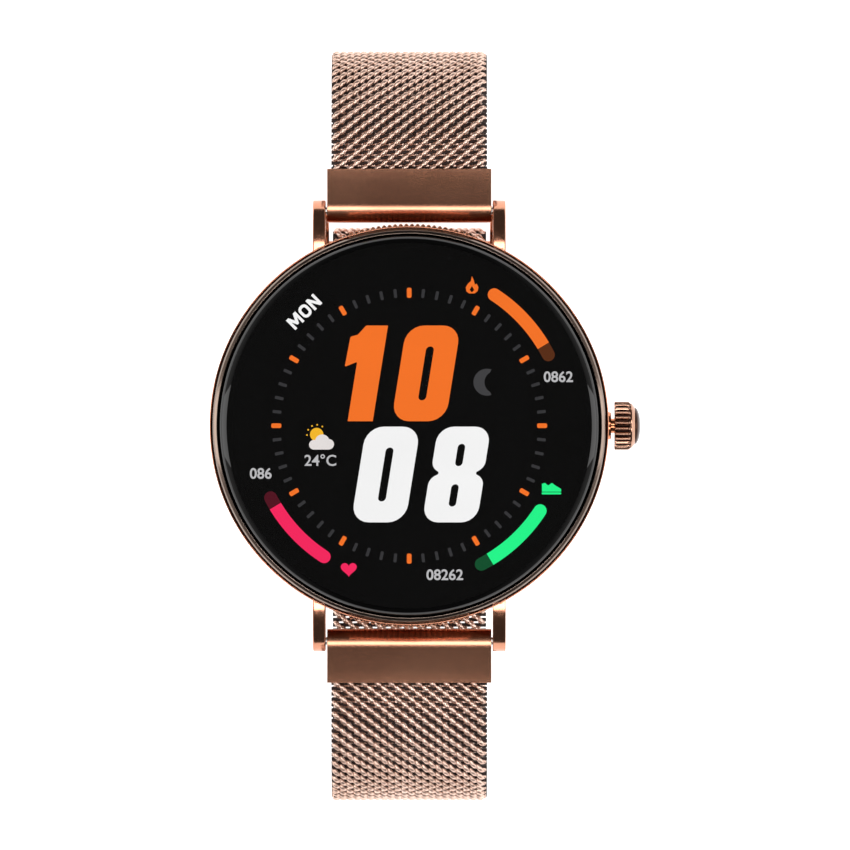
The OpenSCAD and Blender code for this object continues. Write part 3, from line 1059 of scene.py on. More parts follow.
@dataclass
class DialFace:
    """The lit graphics of the display: hour and minute digits, ring of ticks, gauges and symbols."""

    height: float = 8.24
    panel_radius: float = 19.7
    panel_z: float = 7.65
    thickness: float = 0.03
    slant: float = 0.16
    digit_height: float = 10.3
    tick_radius: float = 14.3
    gauge_radius: float = 16.8
    gauge_width: float = 1.4
    body: str = "watch_case"

    def lit(self, name: str, loops: list[list[Point2]], finish: str, lift: float = 0.0) -> bpy.types.Object:
        """Makes one lit shape on the panel.

        Args:
            name: the piece's name.
            loops: its closed outlines.
            finish: a key of FINISHES.
            lift: how far it is raised above the other shapes.

        Returns:
            The piece.
        """
        mesh = flat_mesh(name, loops, self.height + lift, self.thickness)
        return settle(link_mesh(name, mesh, finish), self.body, "display")

    def panel(self) -> bpy.types.Object:
        """Turns the display panel below the graphics.

        Returns:
            The panel.
        """
        top = self.height - self.thickness
        outline = [(0, self.panel_z), (self.panel_radius, self.panel_z), (self.panel_radius, top), (0, top)]
        piece = lathe("panel", outline, "ink", 128)
        return settle(piece, self.body, "display", "display_panel")

    def slanted(self, loop: list[Point2], x: float, base: float) -> list[Point2]:
        """Leans a digit's outline and puts it in place.

        Args:
            loop: the outline, drawn upright about x = 0 with its base at y = 0.
            x: the digit's middle at half its height.
            base: the height of its base line.

        Returns:
            The outline in place.
        """
        middle = self.digit_height / 2
        return [(px + x + self.slant * (py - middle), py + base) for px, py in loop]

    def digit(self, kind: str) -> list[list[Point2]]:
        """Draws one of the large digits upright, about x = 0 with its base at y = 0.

        Args:
            kind: "0", "1" or "8".

        Returns:
            The digit's outline and the outlines of its holes.
        """
        h = self.digit_height
        if kind == "1":
            return [fillet([(-1.35, 0, 0.05), (1.35, 0, 0.05), (1.35, h, 0.05), (-1.0, h, 0.2),
                            (-1.75, 9.3, 0.35), (-2.5, 9.1, 0.2), (-2.6, 5.85, 0.1), (-1.35, 6.4, 0.1)], 4)]
        if kind == "0":
            return [slab(0, h / 2, 5.85, h, 1.9), slab(0, h / 2, 0.85, 5.8, 0.42)]
        waist, w = 5.3, 2.95
        body = fillet([(-w, 0, 1.7), (w, 0, 1.7), (w, waist - 0.6, 1.2), (w - 1.15, waist, 0.2),
                       (w - 0.1, waist + 0.6, 1.2), (w - 0.1, h, 1.7), (0.1 - w, h, 1.7),
                       (0.1 - w, waist + 0.6, 1.2), (1.15 - w, waist, 0.2), (-w, waist - 0.6, 1.2)], 6)
        return [body, slab(0, 2.9, 0.8, 2.4, 0.4), slab(0, 7.25, 0.8, 2.4, 0.4)]

    def time(self) -> None:
        """Makes the hour digits over the minute digits."""
        for name, kind, x, base, finish in (
                ("hour_tens", "1", -4.45, 0.48, "orange"), ("hour_units", "0", 1.82, 0.48, "orange"),
                ("minute_tens", "0", -2.52, -10.4, "white"), ("minute_units", "8", 5.15, -10.4, "white")):
            self.lit(name, [self.slanted(loop, x, base) for loop in self.digit(kind)], finish)

    def ticks(self) -> None:
        """Makes the ring of sixty ticks, of which every fifth is larger and orange."""
        hours, minutes = [], []
        for i in range(60):
            a = math.radians(6 * i)
            long, wide = (1.08, 0.5) if i % 5 == 0 else (0.95, 0.34)
            mark = slab(self.tick_radius, 0, long, wide, 0.16 if i % 5 == 0 else 0.1)
            turned = [(x * math.cos(a) - y * math.sin(a), x * math.sin(a) + y * math.cos(a))
                      for x, y in mark]
            (hours if i % 5 == 0 else minutes).append(turned)
        self.lit("hour_ticks", hours, "orange")
        self.lit("minute_ticks", minutes, "slate")

    def gauge(self, name: str, start: float, split: float, end: float, finish: str) -> None:
        """Makes an arc gauge with a bright part and a dim rest.

        Args:
            name: the gauge's name.
            start: the bright end's angle in degrees.
            split: where bright meets dim.
            end: the dim end's angle.
            finish: the bright finish, whose dim twin ends in _dim.
        """
        half, r = self.gauge_width / 2, self.gauge_radius
        for part, a, b, cap_a, cap_b, look in (("bright", start, split, True, False, finish),
                                               ("dim", split, end, False, True, finish + "_dim")):
            way = 1 if b > a else -1
            loop = arc((0, 0), r + half, a, b, 24)
            if cap_b:
                middle = (r * math.cos(math.radians(b)), r * math.sin(math.radians(b)))
                loop += arc(middle, half, b, b + way * 180, 10)[1:-1]
            loop += arc((0, 0), r - half, b, a, 24)
            if cap_a:
                middle = (r * math.cos(math.radians(a)), r * math.sin(math.radians(a)))
                loop += arc(middle, half, a + way * 180, a + way * 360, 10)[1:-1]
            self.lit(f"{name}_{part}", [loop], look)

    def words(self, name: str, text: str, x: float, y: float, tall: float, finish: str,
              bold: float = 0.0) -> None:
        """Sets small figures on the dial.

        Args:
            name: the piece's name.
            text: the figures.
            x: their middle.
            y: their middle.
            tall: the height of a figure.
            finish: a key of FINISHES.
            bold: how far the strokes are thickened, in millimetres.
        """
        curve = bpy.data.curves.new(name, "FONT")
        curve.body = text
        curve.size = tall / 0.72 * MM
        curve.offset = bold * MM
        curve.extrude = self.thickness / 2 * MM
        curve.align_x = "CENTER"
        curve.align_y = "CENTER"
        curve.resolution_u = 4
        place = Matrix.Translation((x * MM, y * MM, self.height * MM))
        settle(link_mesh(name, curve_mesh(curve, place), finish), self.body, "display")

    def weekday(self) -> None:
        """Draws the weekday's three letters along a line that climbs at 45 degrees."""
        m = [(0, 0), (0, 1.45), (0.36, 1.45), (0.7, 0.75), (1.04, 1.45), (1.4, 1.45), (1.4, 0), (1.1, 0),
             (1.1, 0.85), (0.8, 0.25), (0.6, 0.25), (0.3, 0.85), (0.3, 0)]
        n = [(2.97 + x, y) for x, y in [(0, 0), (0, 1.45), (0.32, 1.45), (0.85, 0.55), (0.85, 1.45),
                                        (1.15, 1.45), (1.15, 0), (0.83, 0), (0.3, 0.9), (0.3, 0)]]
        loops = [m, slab(2.19, 0.725, 1.15, 1.45, 0.5), slab(2.19, 0.725, 0.55, 0.85, 0.25), n]
        c = math.sqrt(0.5)
        turned = [[(-11.3 + c * (x - 2.06 - y + 0.725), 12.25 + c * (x - 2.06 + y - 0.725)) for x, y in loop]
                  for loop in loops]
        self.lit("weekday", turned, "white")

    def symbols(self) -> None:
        """Makes the small symbols: flame, weather, heart, shoe and moon."""
        flame = [(6.75 + s * w, 14.35 + h) for s, points in (
            (-1, [(0.0, 1.75), (0.12, 1.2), (0.42, 0.95), (0.66, 0.55), (0.6, 0.1), (0.3, -0.12)]),
            (1, [(0.3, -0.12), (0.62, 0.15), (0.7, 0.55), (0.5, 0.95), (0.32, 0.82), (0.2, 1.3)]))
            for w, h in points]
        tongue = [(6.75 + x, 14.3 + y) for x, y in [(0.0, 0.75), (0.25, 0.3), (0.0, 0.05), (-0.25, 0.3)]]
        self.lit("flame", [flame, tongue], "orange")
        heart = []
        for i in range(48):
            t = 2 * math.pi * i / 48
            x = 16 * math.sin(t) ** 3
            y = 13 * math.cos(t) - 5 * math.cos(2 * t) - 2 * math.cos(3 * t) - math.cos(4 * t)
            heart.append((-6.5 + 0.054 * x, -15.4 + 0.052 * y))
        self.lit("heart", [heart], "pink")
        sole = slab(15.3, -7.28, 2.1, 0.22, 0.1)
        shoe = fillet([(14.28, -7.1), (16.35, -7.1, 0.05), (16.35, -6.8, 0.2), (15.75, -6.45, 0.2),
                       (15.35, -6.15, 0.1), (14.95, -6.45, 0.15), (14.62, -6.15, 0.1), (14.28, -6.25, 0.05)], 4)
        self.lit("shoe", [sole, shoe], "green")
        self.lit("sun", [disc(-9.95, -0.95, 0.72)], "yellow")
        rays = []
        for i in range(5):
            a = math.radians(55 + 32 * i)
            x, y = -9.95 + 1.05 * math.cos(a), -0.95 + 1.05 * math.sin(a)
            rays.append(disc(x, y, 0.09))
        self.lit("sun_rays", rays, "yellow")
        for k, (x, y, r) in enumerate(((-9.35, -1.72, 0.78), (-10.25, -2.05, 0.52), (-8.65, -2.0, 0.56))):
            self.lit(f"cloud_{k}", [disc(x, y, r)], "pearl", 0.012 + 0.002 * k)
        self.lit("cloud_base", [slab(-9.45, -2.28, 2.1, 0.58, 0.28)], "pearl", 0.02)
        moon = arc((8.36, 4.68), 1.45, 70, 290, 30) + arc((9.3, 4.68), 1.2, 240, 120, 20)
        self.lit("moon", [moon], "grey")

    def build(self) -> None:
        """Builds the panel and all its graphics."""
        self.panel()
        self.time()
        self.ticks()
        self.gauge("energy_gauge", 57, 30.8, 27, "orange")
        self.gauge("pulse_gauge", 237, 211, 207.5, "pink")
        self.gauge("step_gauge", -33, -58.8, -62.5, "green")
        self.words("energy_figures", "0862", 16.05, 5.2, 1.15, "silver", bold=0.03)
        self.words("pulse_figures", "086", -15.97, -5.2, 1.15, "silver", bold=0.03)
        self.words("step_figures", "08262", 3.83, -16.1, 1.15, "silver", bold=0.03)
        self.words("weather_figures", "24°C", -9.55, -3.8, 1.2, "silver", bold=0.02)
        self.weekday()
        self.symbols()


# ---------------------------------------------------------------------------
# Crown
# ---------------------------------------------------------------------------


@dataclass
class Crown:
    """The fluted crown with its domed cap and the collar it turns in."""

    radius: float = 2.6
    axis_z: float = 4.8
    inner_x: float = 22.1
    length: float = 1.8
    flutes: int = 26
    steps_per_flute: int = 12
    flute_depth: float = 0.34
    # Share of the flute depth, at the bottom, that is painted dark as shade.
    painted_shade_share: float = 0.55
    dome_radius: float = 2.0
    tip_x: float = 24.94

    def collar(self) -> bpy.types.Object:
        """Turns the collar that stands out of the case.

        Returns:
            The collar.
        """
        outline = fillet([(0.85, 19.2), (1.5, 19.2), (1.5, 21.4), (1.47, 21.75, 0.1), (0.85, 21.75, 0.05)], 3)
        piece = lathe("crown_collar", outline, "copper", 64, self.axis_z)
        return settle(piece, "watch_case", "rose_gold_copper", "crown_tube")

    def knob(self) -> bpy.types.Object:
        """Makes the knob, whose flutes run out at both rims and whose flute bottoms take a dark copy of the
        metal as painted shade.

        Returns:
            The knob.
        """
        around = self.flutes * self.steps_per_flute
        stations = [(0.0, -0.35, 0.0), (0.0, -0.12, 0.3), (0.06, 0.0, 0.7), (0.18, 0.0, 1.0), (0.5, 0.0, 1.0),
                    (1.0, 0.0, 1.0), (1.4, 0.0, 1.0), (1.58, -0.03, 0.8), (1.7, -0.12, 0.35), (1.8, -0.3, 0.0)]
        points: list[Point3] = []
        for along, inset, depth in stations:
            for i in range(around):
                a = 2 * math.pi * i / around
                groove = (0.5 - 0.5 * math.cos(self.flutes * a)) ** 1.1
                r = self.radius + inset - self.flute_depth * depth * groove
                points.append((self.inner_x + along, r * math.cos(a), self.axis_z + r * math.sin(a)))
        faces = [(s * around + i, s * around + (i + 1) % around, (s + 1) * around + (i + 1) % around,
                  (s + 1) * around + i) for s in range(len(stations) - 1) for i in range(around)]
        faces.append(tuple(range(around)))
        last = (len(stations) - 1) * around
        faces.append(tuple(range(last + around - 1, last - 1, -1)))
        piece = solid("fluted_knob", points, faces, "crown")
        # Flute faces below this radius take the dark copy of the metal: painted shade in the grooves.
        piece.data.materials.append(PALETTE["dark"])
        painted_shade_below = self.radius - self.painted_shade_share * self.flute_depth
        for face in piece.data.polygons:
            middle = Vector((face.center.y, face.center.z - self.axis_z * MM))
            if len(face.vertices) == 4 and middle.length < painted_shade_below * MM:
                face.material_index = 1
        return settle(piece, "crown", "rose_gold_crown", "crown_knob")

    def cap(self) -> list[bpy.types.Object]:
        """Turns the shoulder ring in the crown's metal and the dome in the dark copy of the metal, which is
        painted shade.

        Returns:
            The ring and the dome.
        """
        start = self.inner_x + self.length
        ring = fillet([(1.6, start - 0.05), (2.42, start - 0.05), (2.4, start + 0.1, 0.06),
                       (2.02, start + 0.42, 0.1), (1.6, start + 0.42)], 4)
        dome_foot = start + 0.38
        dome = [(self.dome_radius * math.cos(a), dome_foot + (self.tip_x - dome_foot) * math.sin(a))
                for a in (math.radians(t) for t in range(0, 90, 9))]
        dome = [(0, start + 0.3), (self.dome_radius, start + 0.3)] + dome + [(0, self.tip_x)]
        bright = lathe("cap_ring", ring, "crown", 96, self.axis_z)
        # The dome takes the dark copy of the rose gold: painted shade.
        dark = lathe("cap_dome", dome, "dark", 96, self.axis_z)
        return [settle(bright, "crown", "rose_gold_crown"),
                settle(dark, "crown", "rose_gold_dark", "crown_cap")]

    def build(self) -> None:
        """Builds the crown's pieces."""
        self.collar()
        self.knob()
        self.cap()


# ---------------------------------------------------------------------------
# Strap
# ---------------------------------------------------------------------------


class Route:
    """A smooth line in the side view, made of straights and arcs, read by its length."""

    def __init__(self, start: Point2, heading: float, outer: Turn) -> None:
        """Starts a route.

        Args:
            start: its first point as (y, z).
            heading: its direction in degrees from +Y towards +Z.
            outer: which side of the travel the strap's outer face lies on.
        """
        self.heading = heading
        self.outer = outer
        self._points = [np.array(start, float)]
        self._headings = [heading]

    def straight(self, length: float) -> "Route":
        """Goes straight on for a length in millimetres."""
        return self._go(length, 0.0)

    def bend(self, radius: float, degrees: float) -> "Route":
        """Turns on a radius by an angle in degrees, to the left if it is positive."""
        return self._go(radius * math.radians(abs(degrees)), degrees)

    def _go(self, length: float, turn: float, step: float = 0.1) -> "Route":
        """Adds fine steps along an arc or a straight.

        Args:
            length: the stretch's length.
            turn: how far it turns in all, in degrees.
            step: about how long one step is.

        Returns:
            The route, so that calls can follow one another.
        """
        count = max(2, int(length / step))
        for _ in range(count):
            middle = math.radians(self.heading + turn / count / 2)
            chord = length / count
            if turn:
                half = math.radians(abs(turn) / count / 2)
                chord *= math.sin(half) / half
            self._points.append(self._points[-1] + chord * np.array([math.cos(middle), math.sin(middle)]))
            self.heading += turn / count
            self._headings.append(self.heading)
        return self

    def read(self, places: np.ndarray) -> tuple[np.ndarray, np.ndarray]:
        """Looks up points and outward directions.

        Args:
            places: lengths along the route.

        Returns:
            Points and outward unit vectors, both as (..., 2) arrays of (y, z).
        """
        points = np.array(self._points)
        gaps = np.hypot(*np.diff(points, axis=0).T)
        lengths = np.concatenate([[0.0], np.cumsum(gaps)])
        headings = np.radians(np.interp(places, lengths, self._headings) + 90 * self.outer.value)
        spot = np.stack([np.interp(places, lengths, points[:, k]) for k in (0, 1)], axis=-1)
        over = np.clip(places - lengths[-1], 0, None) + np.clip(places, None, 0)
        ahead = headings - math.radians(90 * self.outer.value)
        spot = spot + over[..., None] * np.stack([np.cos(ahead), np.sin(ahead)], axis=-1)
        return spot, np.stack([np.cos(headings), np.sin(headings)], axis=-1)

    @property
    def length(self) -> float:
        """The route's whole length."""
        return float(np.sum(np.hypot(*np.diff(np.array(self._points), axis=0).T)))


@dataclass
class Weave:
    """Woven wire mesh: rows of flattened coils hooked into each other, with a wire along each row that is
    coloured near black as painted shade in the gaps.
    """

    width: float = 17.0
    thickness: float = 1.3
    wire: float = 0.28
    row_gap: float = 0.58
    reach: float = 0.36
    pitch: float = 1.478
    samples: int = 10
    sides: int = 6
    core: float = 0.21

    def sweep(self, lines: np.ndarray, radius: float, tapered: bool) -> tuple[np.ndarray, np.ndarray]:
        """Sweeps a round section along many lines at once.

        Args:
            lines: points as (line, point, 3).
            radius: the wire's radius.
            tapered: whether the ends grow thin before they close.

        Returns:
            Corners as (n, 3) and quads as (m, 4).
        """
        count, steps = lines.shape[:2]
        ahead = np.gradient(lines, axis=1)
        ahead /= np.linalg.norm(ahead, axis=2, keepdims=True)
        side = np.cross(ahead[:, 0], np.array([0.31, 0.87, 0.38]))
        sides_at = np.empty_like(lines)
        for k in range(steps):
            side = side - ahead[:, k] * np.sum(side * ahead[:, k], axis=1, keepdims=True)
            side /= np.linalg.norm(side, axis=1, keepdims=True)
            sides_at[:, k] = side
        up = np.cross(ahead, sides_at)
        angles = 2 * np.pi * np.arange(self.sides) / self.sides
        shrink = np.full(steps, radius)
        if tapered:
            shrink[[0, -1]] = radius * 0.5
        ring = np.cos(angles)[:, None] * sides_at[:, :, None, :] + np.sin(angles)[:, None] * up[:, :, None, :]
        corners = lines[:, :, None, :] + shrink[None, :, None, None] * ring
        index = np.arange(count * steps * self.sides).reshape(count, steps, self.sides)
        a, b = index[:, :-1], index[:, 1:]
        quads = np.stack([a, b, np.roll(b, -1, axis=2), np.roll(a, -1, axis=2)], axis=-1).reshape(-1, 4)
        lids = [index[:, end][:, list(turn)] for end, turn in
                ((0, (0, 1, 2, 3)), (0, (0, 3, 4, 5)), (-1, (3, 2, 1, 0)), (-1, (5, 4, 3, 0)))]
        return corners.reshape(-1, 3), np.concatenate([quads] + lids)

    def place(self, route: Route, across: np.ndarray, along: np.ndarray, out: np.ndarray) -> np.ndarray:
        """Bends flat strap coordinates onto a route.

        Args:
            route: the strap's route.
            across: the X places.
            along: the lengths along the route.
            out: the heights off its middle line.

        Returns:
            Points as (..., 3).
        """
        spot, outward = route.read(along)
        flat = spot + outward * out[..., None]
        return np.concatenate([across[..., None], flat], axis=-1)

    def piece(self, name: str, route: Route, first: int, last: int) -> bpy.types.Object:
        """Weaves the rows from one number to another.

        Args:
            name: the piece's name.
            route: the strap's route.
            first: the first row, counted from the route's start.
            last: the row after the last one.

        Returns:
            The woven piece.
        """
        rows = np.arange(first, last)
        turns = (self.width - 2 * self.wire) / self.pitch
        phase = np.linspace(0, 2 * np.pi * turns, int(turns * self.samples) + 1)
        start = -self.width / 2 + self.wire
        shift = np.where(rows % 2 == 0, 0.0, math.pi)[:, None]
        angle = phase[None, :] + shift
        across = np.broadcast_to(start + self.pitch * phase / (2 * np.pi), angle.shape)
        centre = (rows + 0.5)[:, None] * self.row_gap
        ramp = 2 / np.pi * np.arcsin(np.cos(angle))
        along = centre - self.reach * (0.5 * ramp + 0.5 * np.cos(angle))
        lift = np.sign(np.sin(angle)) * np.abs(np.sin(angle)) ** 0.62
        out = (self.thickness / 2 - self.wire) * lift
        coils = self.place(route, across, along, out)
        parts = [self.sweep(coils, self.wire, True)]
        cross = np.linspace(-self.width / 2 + 0.1, self.width / 2 - 0.1, 3)
        core_along = np.broadcast_to(centre, (len(rows), 3))
        core_across = np.broadcast_to(cross, (len(rows), 3))
        cores = self.place(route, core_across, core_along, np.zeros((len(rows), 3)))
        parts.append(self.sweep(cores, self.core, False))
        corners = np.concatenate([p[0] for p in parts])
        quads = np.concatenate([parts[0][1], parts[1][1] + len(parts[0][0])])
        mesh = bpy.data.meshes.new(name)
        mesh.vertices.add(len(corners))
        mesh.vertices.foreach_set("co", (corners * MM).astype(np.float32).ravel())
        mesh.loops.add(quads.size)
        mesh.loops.foreach_set("vertex_index", quads.astype(np.int32).ravel())
        mesh.polygons.add(len(quads))
        mesh.polygons.foreach_set("loop_start", np.arange(0, quads.size, 4, dtype=np.int32))
        # Faces of the row wires take the near-black second finish, which is painted shade in the gaps.
        kinds = (np.arange(len(quads)) >= len(parts[0][1])).astype(np.int32)
        mesh.polygons.foreach_set("material_index", kinds)
        mesh.update(calc_edges=True)
        mesh.validate()
        mesh.shade_smooth()
        piece = link_mesh(name, mesh, "wire")
        mesh.materials.append(PALETTE["painted_shade_core_wire"])
        mesh.polygons.foreach_set("material_index", kinds)
        return piece


@dataclass
class Strap:
    """Both halves of the closed strap: their mesh, end clamps, buckle ring and magnetic tab."""

    weave: Weave = field(default_factory=Weave)
    bar_y: float = 23.2
    bar_z: float = 3.2
    clamp_radius: float = 1.3
    crest_stretch: float = 0.9
    bar_bore: float = 0.77
    clamp_half: float = 8.85
    clamp_end: float = 27.7
    grip: float = 2.4
    grip_run: float = 1.4
    reach: float = 40.6
    shoulder_radius: float = 11.2
    ring_y: float = 19.6
    ring_z: float = -40.0
    ring_tilt: float = 25.0
    ring_bar: float = 0.8
    ring_wire: float = 0.74
    ring_corner: float = 0.75
    ring_far: float = 4.2
    fold_gap: float = 0.15
    heel_radius: float = 12.6
    toe_radius: float = 13.0
    toe_clamp_end: float = 9.0
    tab_length: float = 16.0
    tab_width: float = 17.8

    @property
    def half(self) -> float:
        """Half the mesh's thickness."""
        return self.weave.thickness / 2

    @property
    def fold(self) -> float:
        """The middle radius of the mesh folded round the ring's bar."""
        return self.ring_bar + self.fold_gap + self.half

    def clamp_outline(self) -> list[Point2]:
        """Draws the end clamp's side view: a tube round the bar that runs into a thick plate.

        Returns:
            The outline as (y, z), for the upper side.
        """
        y, z, r = self.bar_y, self.bar_z, self.clamp_radius
        nose = arc((y, z), r, 270, 180, 12)
        stretch = self.crest_stretch
        crest = [(y + stretch - (r + stretch) * math.cos(a), z + r * math.sin(a))
                 for a in (math.radians(5 * i) for i in range(1, 19))]
        back = [(self.clamp_end - 1.5, z + r - 0.03), (self.clamp_end, z + r - 0.1), (self.clamp_end, z - r)]
        return nose + crest + back

    def end_clamp(self, side: Side) -> bpy.types.Object:
        """Makes an end clamp with its bore, its mesh slot and the release knob's slot.

        Args:
            side: the strap side.

        Returns:
            The clamp.
        """
        s = side.value
        outline = [(y * s, z) for y, z in self.clamp_outline()]
        piece = prism(f"end_clamp_{side.name.lower()}", outline, -self.clamp_half, self.clamp_half, "brushed")
        slot_half = self.half + 0.06
        y0, y1 = sorted((s * (self.clamp_end - self.grip), s * (self.clamp_end + 1)))
        k0, k1 = sorted((s * (self.bar_y - 0.6), s * (self.bar_y + 0.6)))
        bore_y = s * self.bar_y
        carve(piece, [
            box_tool((-8.6, y0, self.bar_z - slot_half), (8.6, y1, self.bar_z + slot_half)),
            rod("tool", (-10, bore_y, self.bar_z), (10, bore_y, self.bar_z), self.bar_bore, "steel"),
            box_tool((4.4, k0, 0.5), (6.6, k1, self.bar_z))])
        soften(piece, 0.1, 2, 42)
        body = "upper_strap" if side is Side.UPPER else "lower_strap"
        return settle(piece, body, "rose_gold_brushed", f"{side.name.lower()}_clamp")

    def upper_route(self) -> Route:
        """Lays out the short strap: out of the clamp, over the shoulder, down to the buckle ring.

        Returns:
            The route of the mesh's middle line.
        """
        toe_y = self.reach - self.half - self.toe_radius
        tilt, rise = math.radians(self.ring_tilt), math.radians(90 - self.ring_tilt)
        toe_end = (toe_y + self.toe_radius * math.cos(rise) - self.ring_y) / math.cos(tilt)
        toe_z = self.ring_z + toe_end * math.sin(tilt) + self.toe_radius * math.sin(rise)
        shoulder = self.shoulder_radius - self.half
        route = Route((self.clamp_end - self.grip_run, self.bar_z), 0.0, Turn.LEFT)
        route.straight(self.reach - self.shoulder_radius - self.clamp_end + self.grip_run).bend(shoulder, -90)
        route.straight(self.bar_z - shoulder - toe_z).bend(self.toe_radius, -(90 - self.ring_tilt))
        return route.straight(toe_end - self.toe_clamp_end + 1.2)

    def lower_route(self) -> Route:
        """Lays out the long strap: over its shoulder, under the wrist, round the ring's bar and back.

        Returns:
            The route of the mesh's middle line.
        """
        shoulder = self.shoulder_radius - self.half
        under = self.ring_z + self.fold
        heel_z = under + self.heel_radius
        heel_y = self.reach - self.half - self.heel_radius
        route = Route((self.grip_run - self.clamp_end, self.bar_z), 180.0, Turn.RIGHT)
        route.straight(self.reach - self.shoulder_radius - self.clamp_end + self.grip_run).bend(shoulder, 90)
        route.straight(self.bar_z - shoulder - heel_z).bend(self.heel_radius, 90)
        route.straight(heel_y + self.ring_y).bend(self.fold, -180)
        return route.straight(self.ring_y - self.tab_length / 2 + self.grip_run)

    def short_mesh(self) -> bpy.types.Object:
        """Weaves the short strap.

        Returns:
            The woven piece.
        """
        route = self.upper_route()
        piece = self.weave.piece("short_strap_mesh", route, 0, int(route.length / self.weave.row_gap))
        return settle(piece, "upper_strap", "rose_gold_mesh", "upper_mesh")

    def long_mesh(self) -> list[bpy.types.Object]:
        """Weaves the long strap as three pieces that bend at the heel and at the tail's fold.

        Returns:
            The three woven pieces.
        """
        route, gap = self.lower_route(), self.weave.row_gap
        rows = int(route.length / gap)
        tail_start = route.length - (self.ring_y - self.tab_length / 2 + self.grip_run)
        middle = tail_start - math.pi * self.fold - self.ring_y - 4
        cuts = [0, int(middle / gap), int(tail_start / gap), rows]
        names = ("long_strap_mesh", "under_wrist_mesh", "tail_mesh_woven")
        pieces = [self.weave.piece(n, route, a, b) for n, a, b in zip(names, cuts, cuts[1:])]
        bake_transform(pieces[0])
        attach(pieces[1], "under_strap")
        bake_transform(pieces[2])
        for piece, node in zip(pieces, ("lower_mesh", "under_mesh", "tail_mesh")):
            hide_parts(node)
            LOG.info("piece %s woven", piece.name)
        return pieces

    def at_ring(self, piece: bpy.types.Object) -> bpy.types.Object:
        """Moves a mesh that is drawn about the ring's bar to its place on the closed strap.

        Args:
            piece: the piece, drawn level with the bar at the origin.

        Returns:
            The piece in place.
        """
        place = Matrix.Translation((0, self.ring_y * MM, self.ring_z * MM))
        piece.data.transform(place @ Matrix.Rotation(math.radians(self.ring_tilt), 4, "X"))
        return piece

    def buckle_ring(self) -> bpy.types.Object:
        """Sweeps the round wire of the buckle ring along its rounded rectangle.

        Returns:
            The ring.
        """
        reach_x = self.weave.width / 2 + 0.35 + 0.7
        corner = self.ring_corner
        path = fillet([(-reach_x, 0, corner), (reach_x, 0, corner), (reach_x, self.ring_far, corner),
                       (-reach_x, self.ring_far, corner)], 8)
        sides, points, count = 24, [], len(path)
        for i, (x, y) in enumerate(path):
            ahead = (Vector(path[(i + 1) % count]) - Vector(path[i - 1])).normalized()
            out = Vector((ahead.y, -ahead.x, 0))
            for k in range(sides):
                a = 2 * math.pi * k / sides
                p = Vector((x, y, 0)) + self.ring_wire * (math.cos(a) * out + math.sin(a) * Vector((0, 0, 1)))
                points.append(tuple(p))
        faces = [(i * sides + k, (i + 1) % count * sides + k, (i + 1) % count * sides + (k + 1) % sides,
                  i * sides + (k + 1) % sides) for i in range(count) for k in range(sides)]
        piece = self.at_ring(solid("buckle_loop", points, faces, "copper"))
        return settle(piece, "upper_strap", "rose_gold_copper", "buckle_ring")

    def ring_clamp(self) -> bpy.types.Object:
        """Makes the short strap's end clamp, which grips the mesh and the ring.

        Returns:
            The clamp.
        """
        outline = fillet([(3.7, -0.95, 0.6), (self.toe_clamp_end, -1.3, 0.12), (self.toe_clamp_end, 1.3, 0.12),
                          (3.7, 0.95, 0.6)], 5)
        piece = prism("ring_end_clamp", outline, -8.7, 8.7, "brushed")
        slot_half = self.half + 0.06
        carve(piece, [box_tool((-8.55, self.toe_clamp_end - self.grip, -slot_half),
                               (8.55, self.toe_clamp_end + 1, slot_half)),
                      rod("tool", (-10, self.ring_far, 0), (10, self.ring_far, 0), 0.75, "steel")])
        soften(piece, 0.1, 2, 42)
        return settle(self.at_ring(piece), "upper_strap", "rose_gold_brushed", "ring_clamp")

    def tab(self) -> list[bpy.types.Object]:
        """Makes the magnetic tab: a brushed shell and the lid that closes it.

        Returns:
            The shell and the lid.
        """
        half_l, half_w = self.tab_length / 2, self.tab_width / 2
        outline = fillet([(-half_w, -half_l, 1.6), (half_w, -half_l, 1.6), (half_w, half_l, 0.6),
                          (-half_w, half_l, 0.6)], 8)
        seam, top, bottom = self.ring_z + 0.15, self.ring_z + 0.65, self.ring_z - 2.55
        shell = prism("tab_body", outline, bottom, seam - 0.02, "brushed", "Z")
        tail_z, slot_half = self.ring_z - self.fold, self.half + 0.05
        carve(shell, [box_tool((-8.55, half_l - self.grip, tail_z - slot_half),
                               (8.55, half_l + 1, tail_z + slot_half))])
        lid = prism("tab_cover", outline, seam, top, "polished", "Z")
        pieces = []
        for piece, node in ((shell, "tab_shell"), (lid, "tab_lid")):
            soften(piece, 0.16, 3, 42)
            pieces.append(settle(piece, "tail_flap", "rose_gold_brushed", node))
        return pieces

    def build(self) -> None:
        """Builds every piece of the strap."""
        for side in Side:
            self.end_clamp(side)
        self.short_mesh()
        self.long_mesh()
        self.buckle_ring()
        self.ring_clamp()
        self.tab()


# ---------------------------------------------------------------------------
# Inner parts
# ---------------------------------------------------------------------------


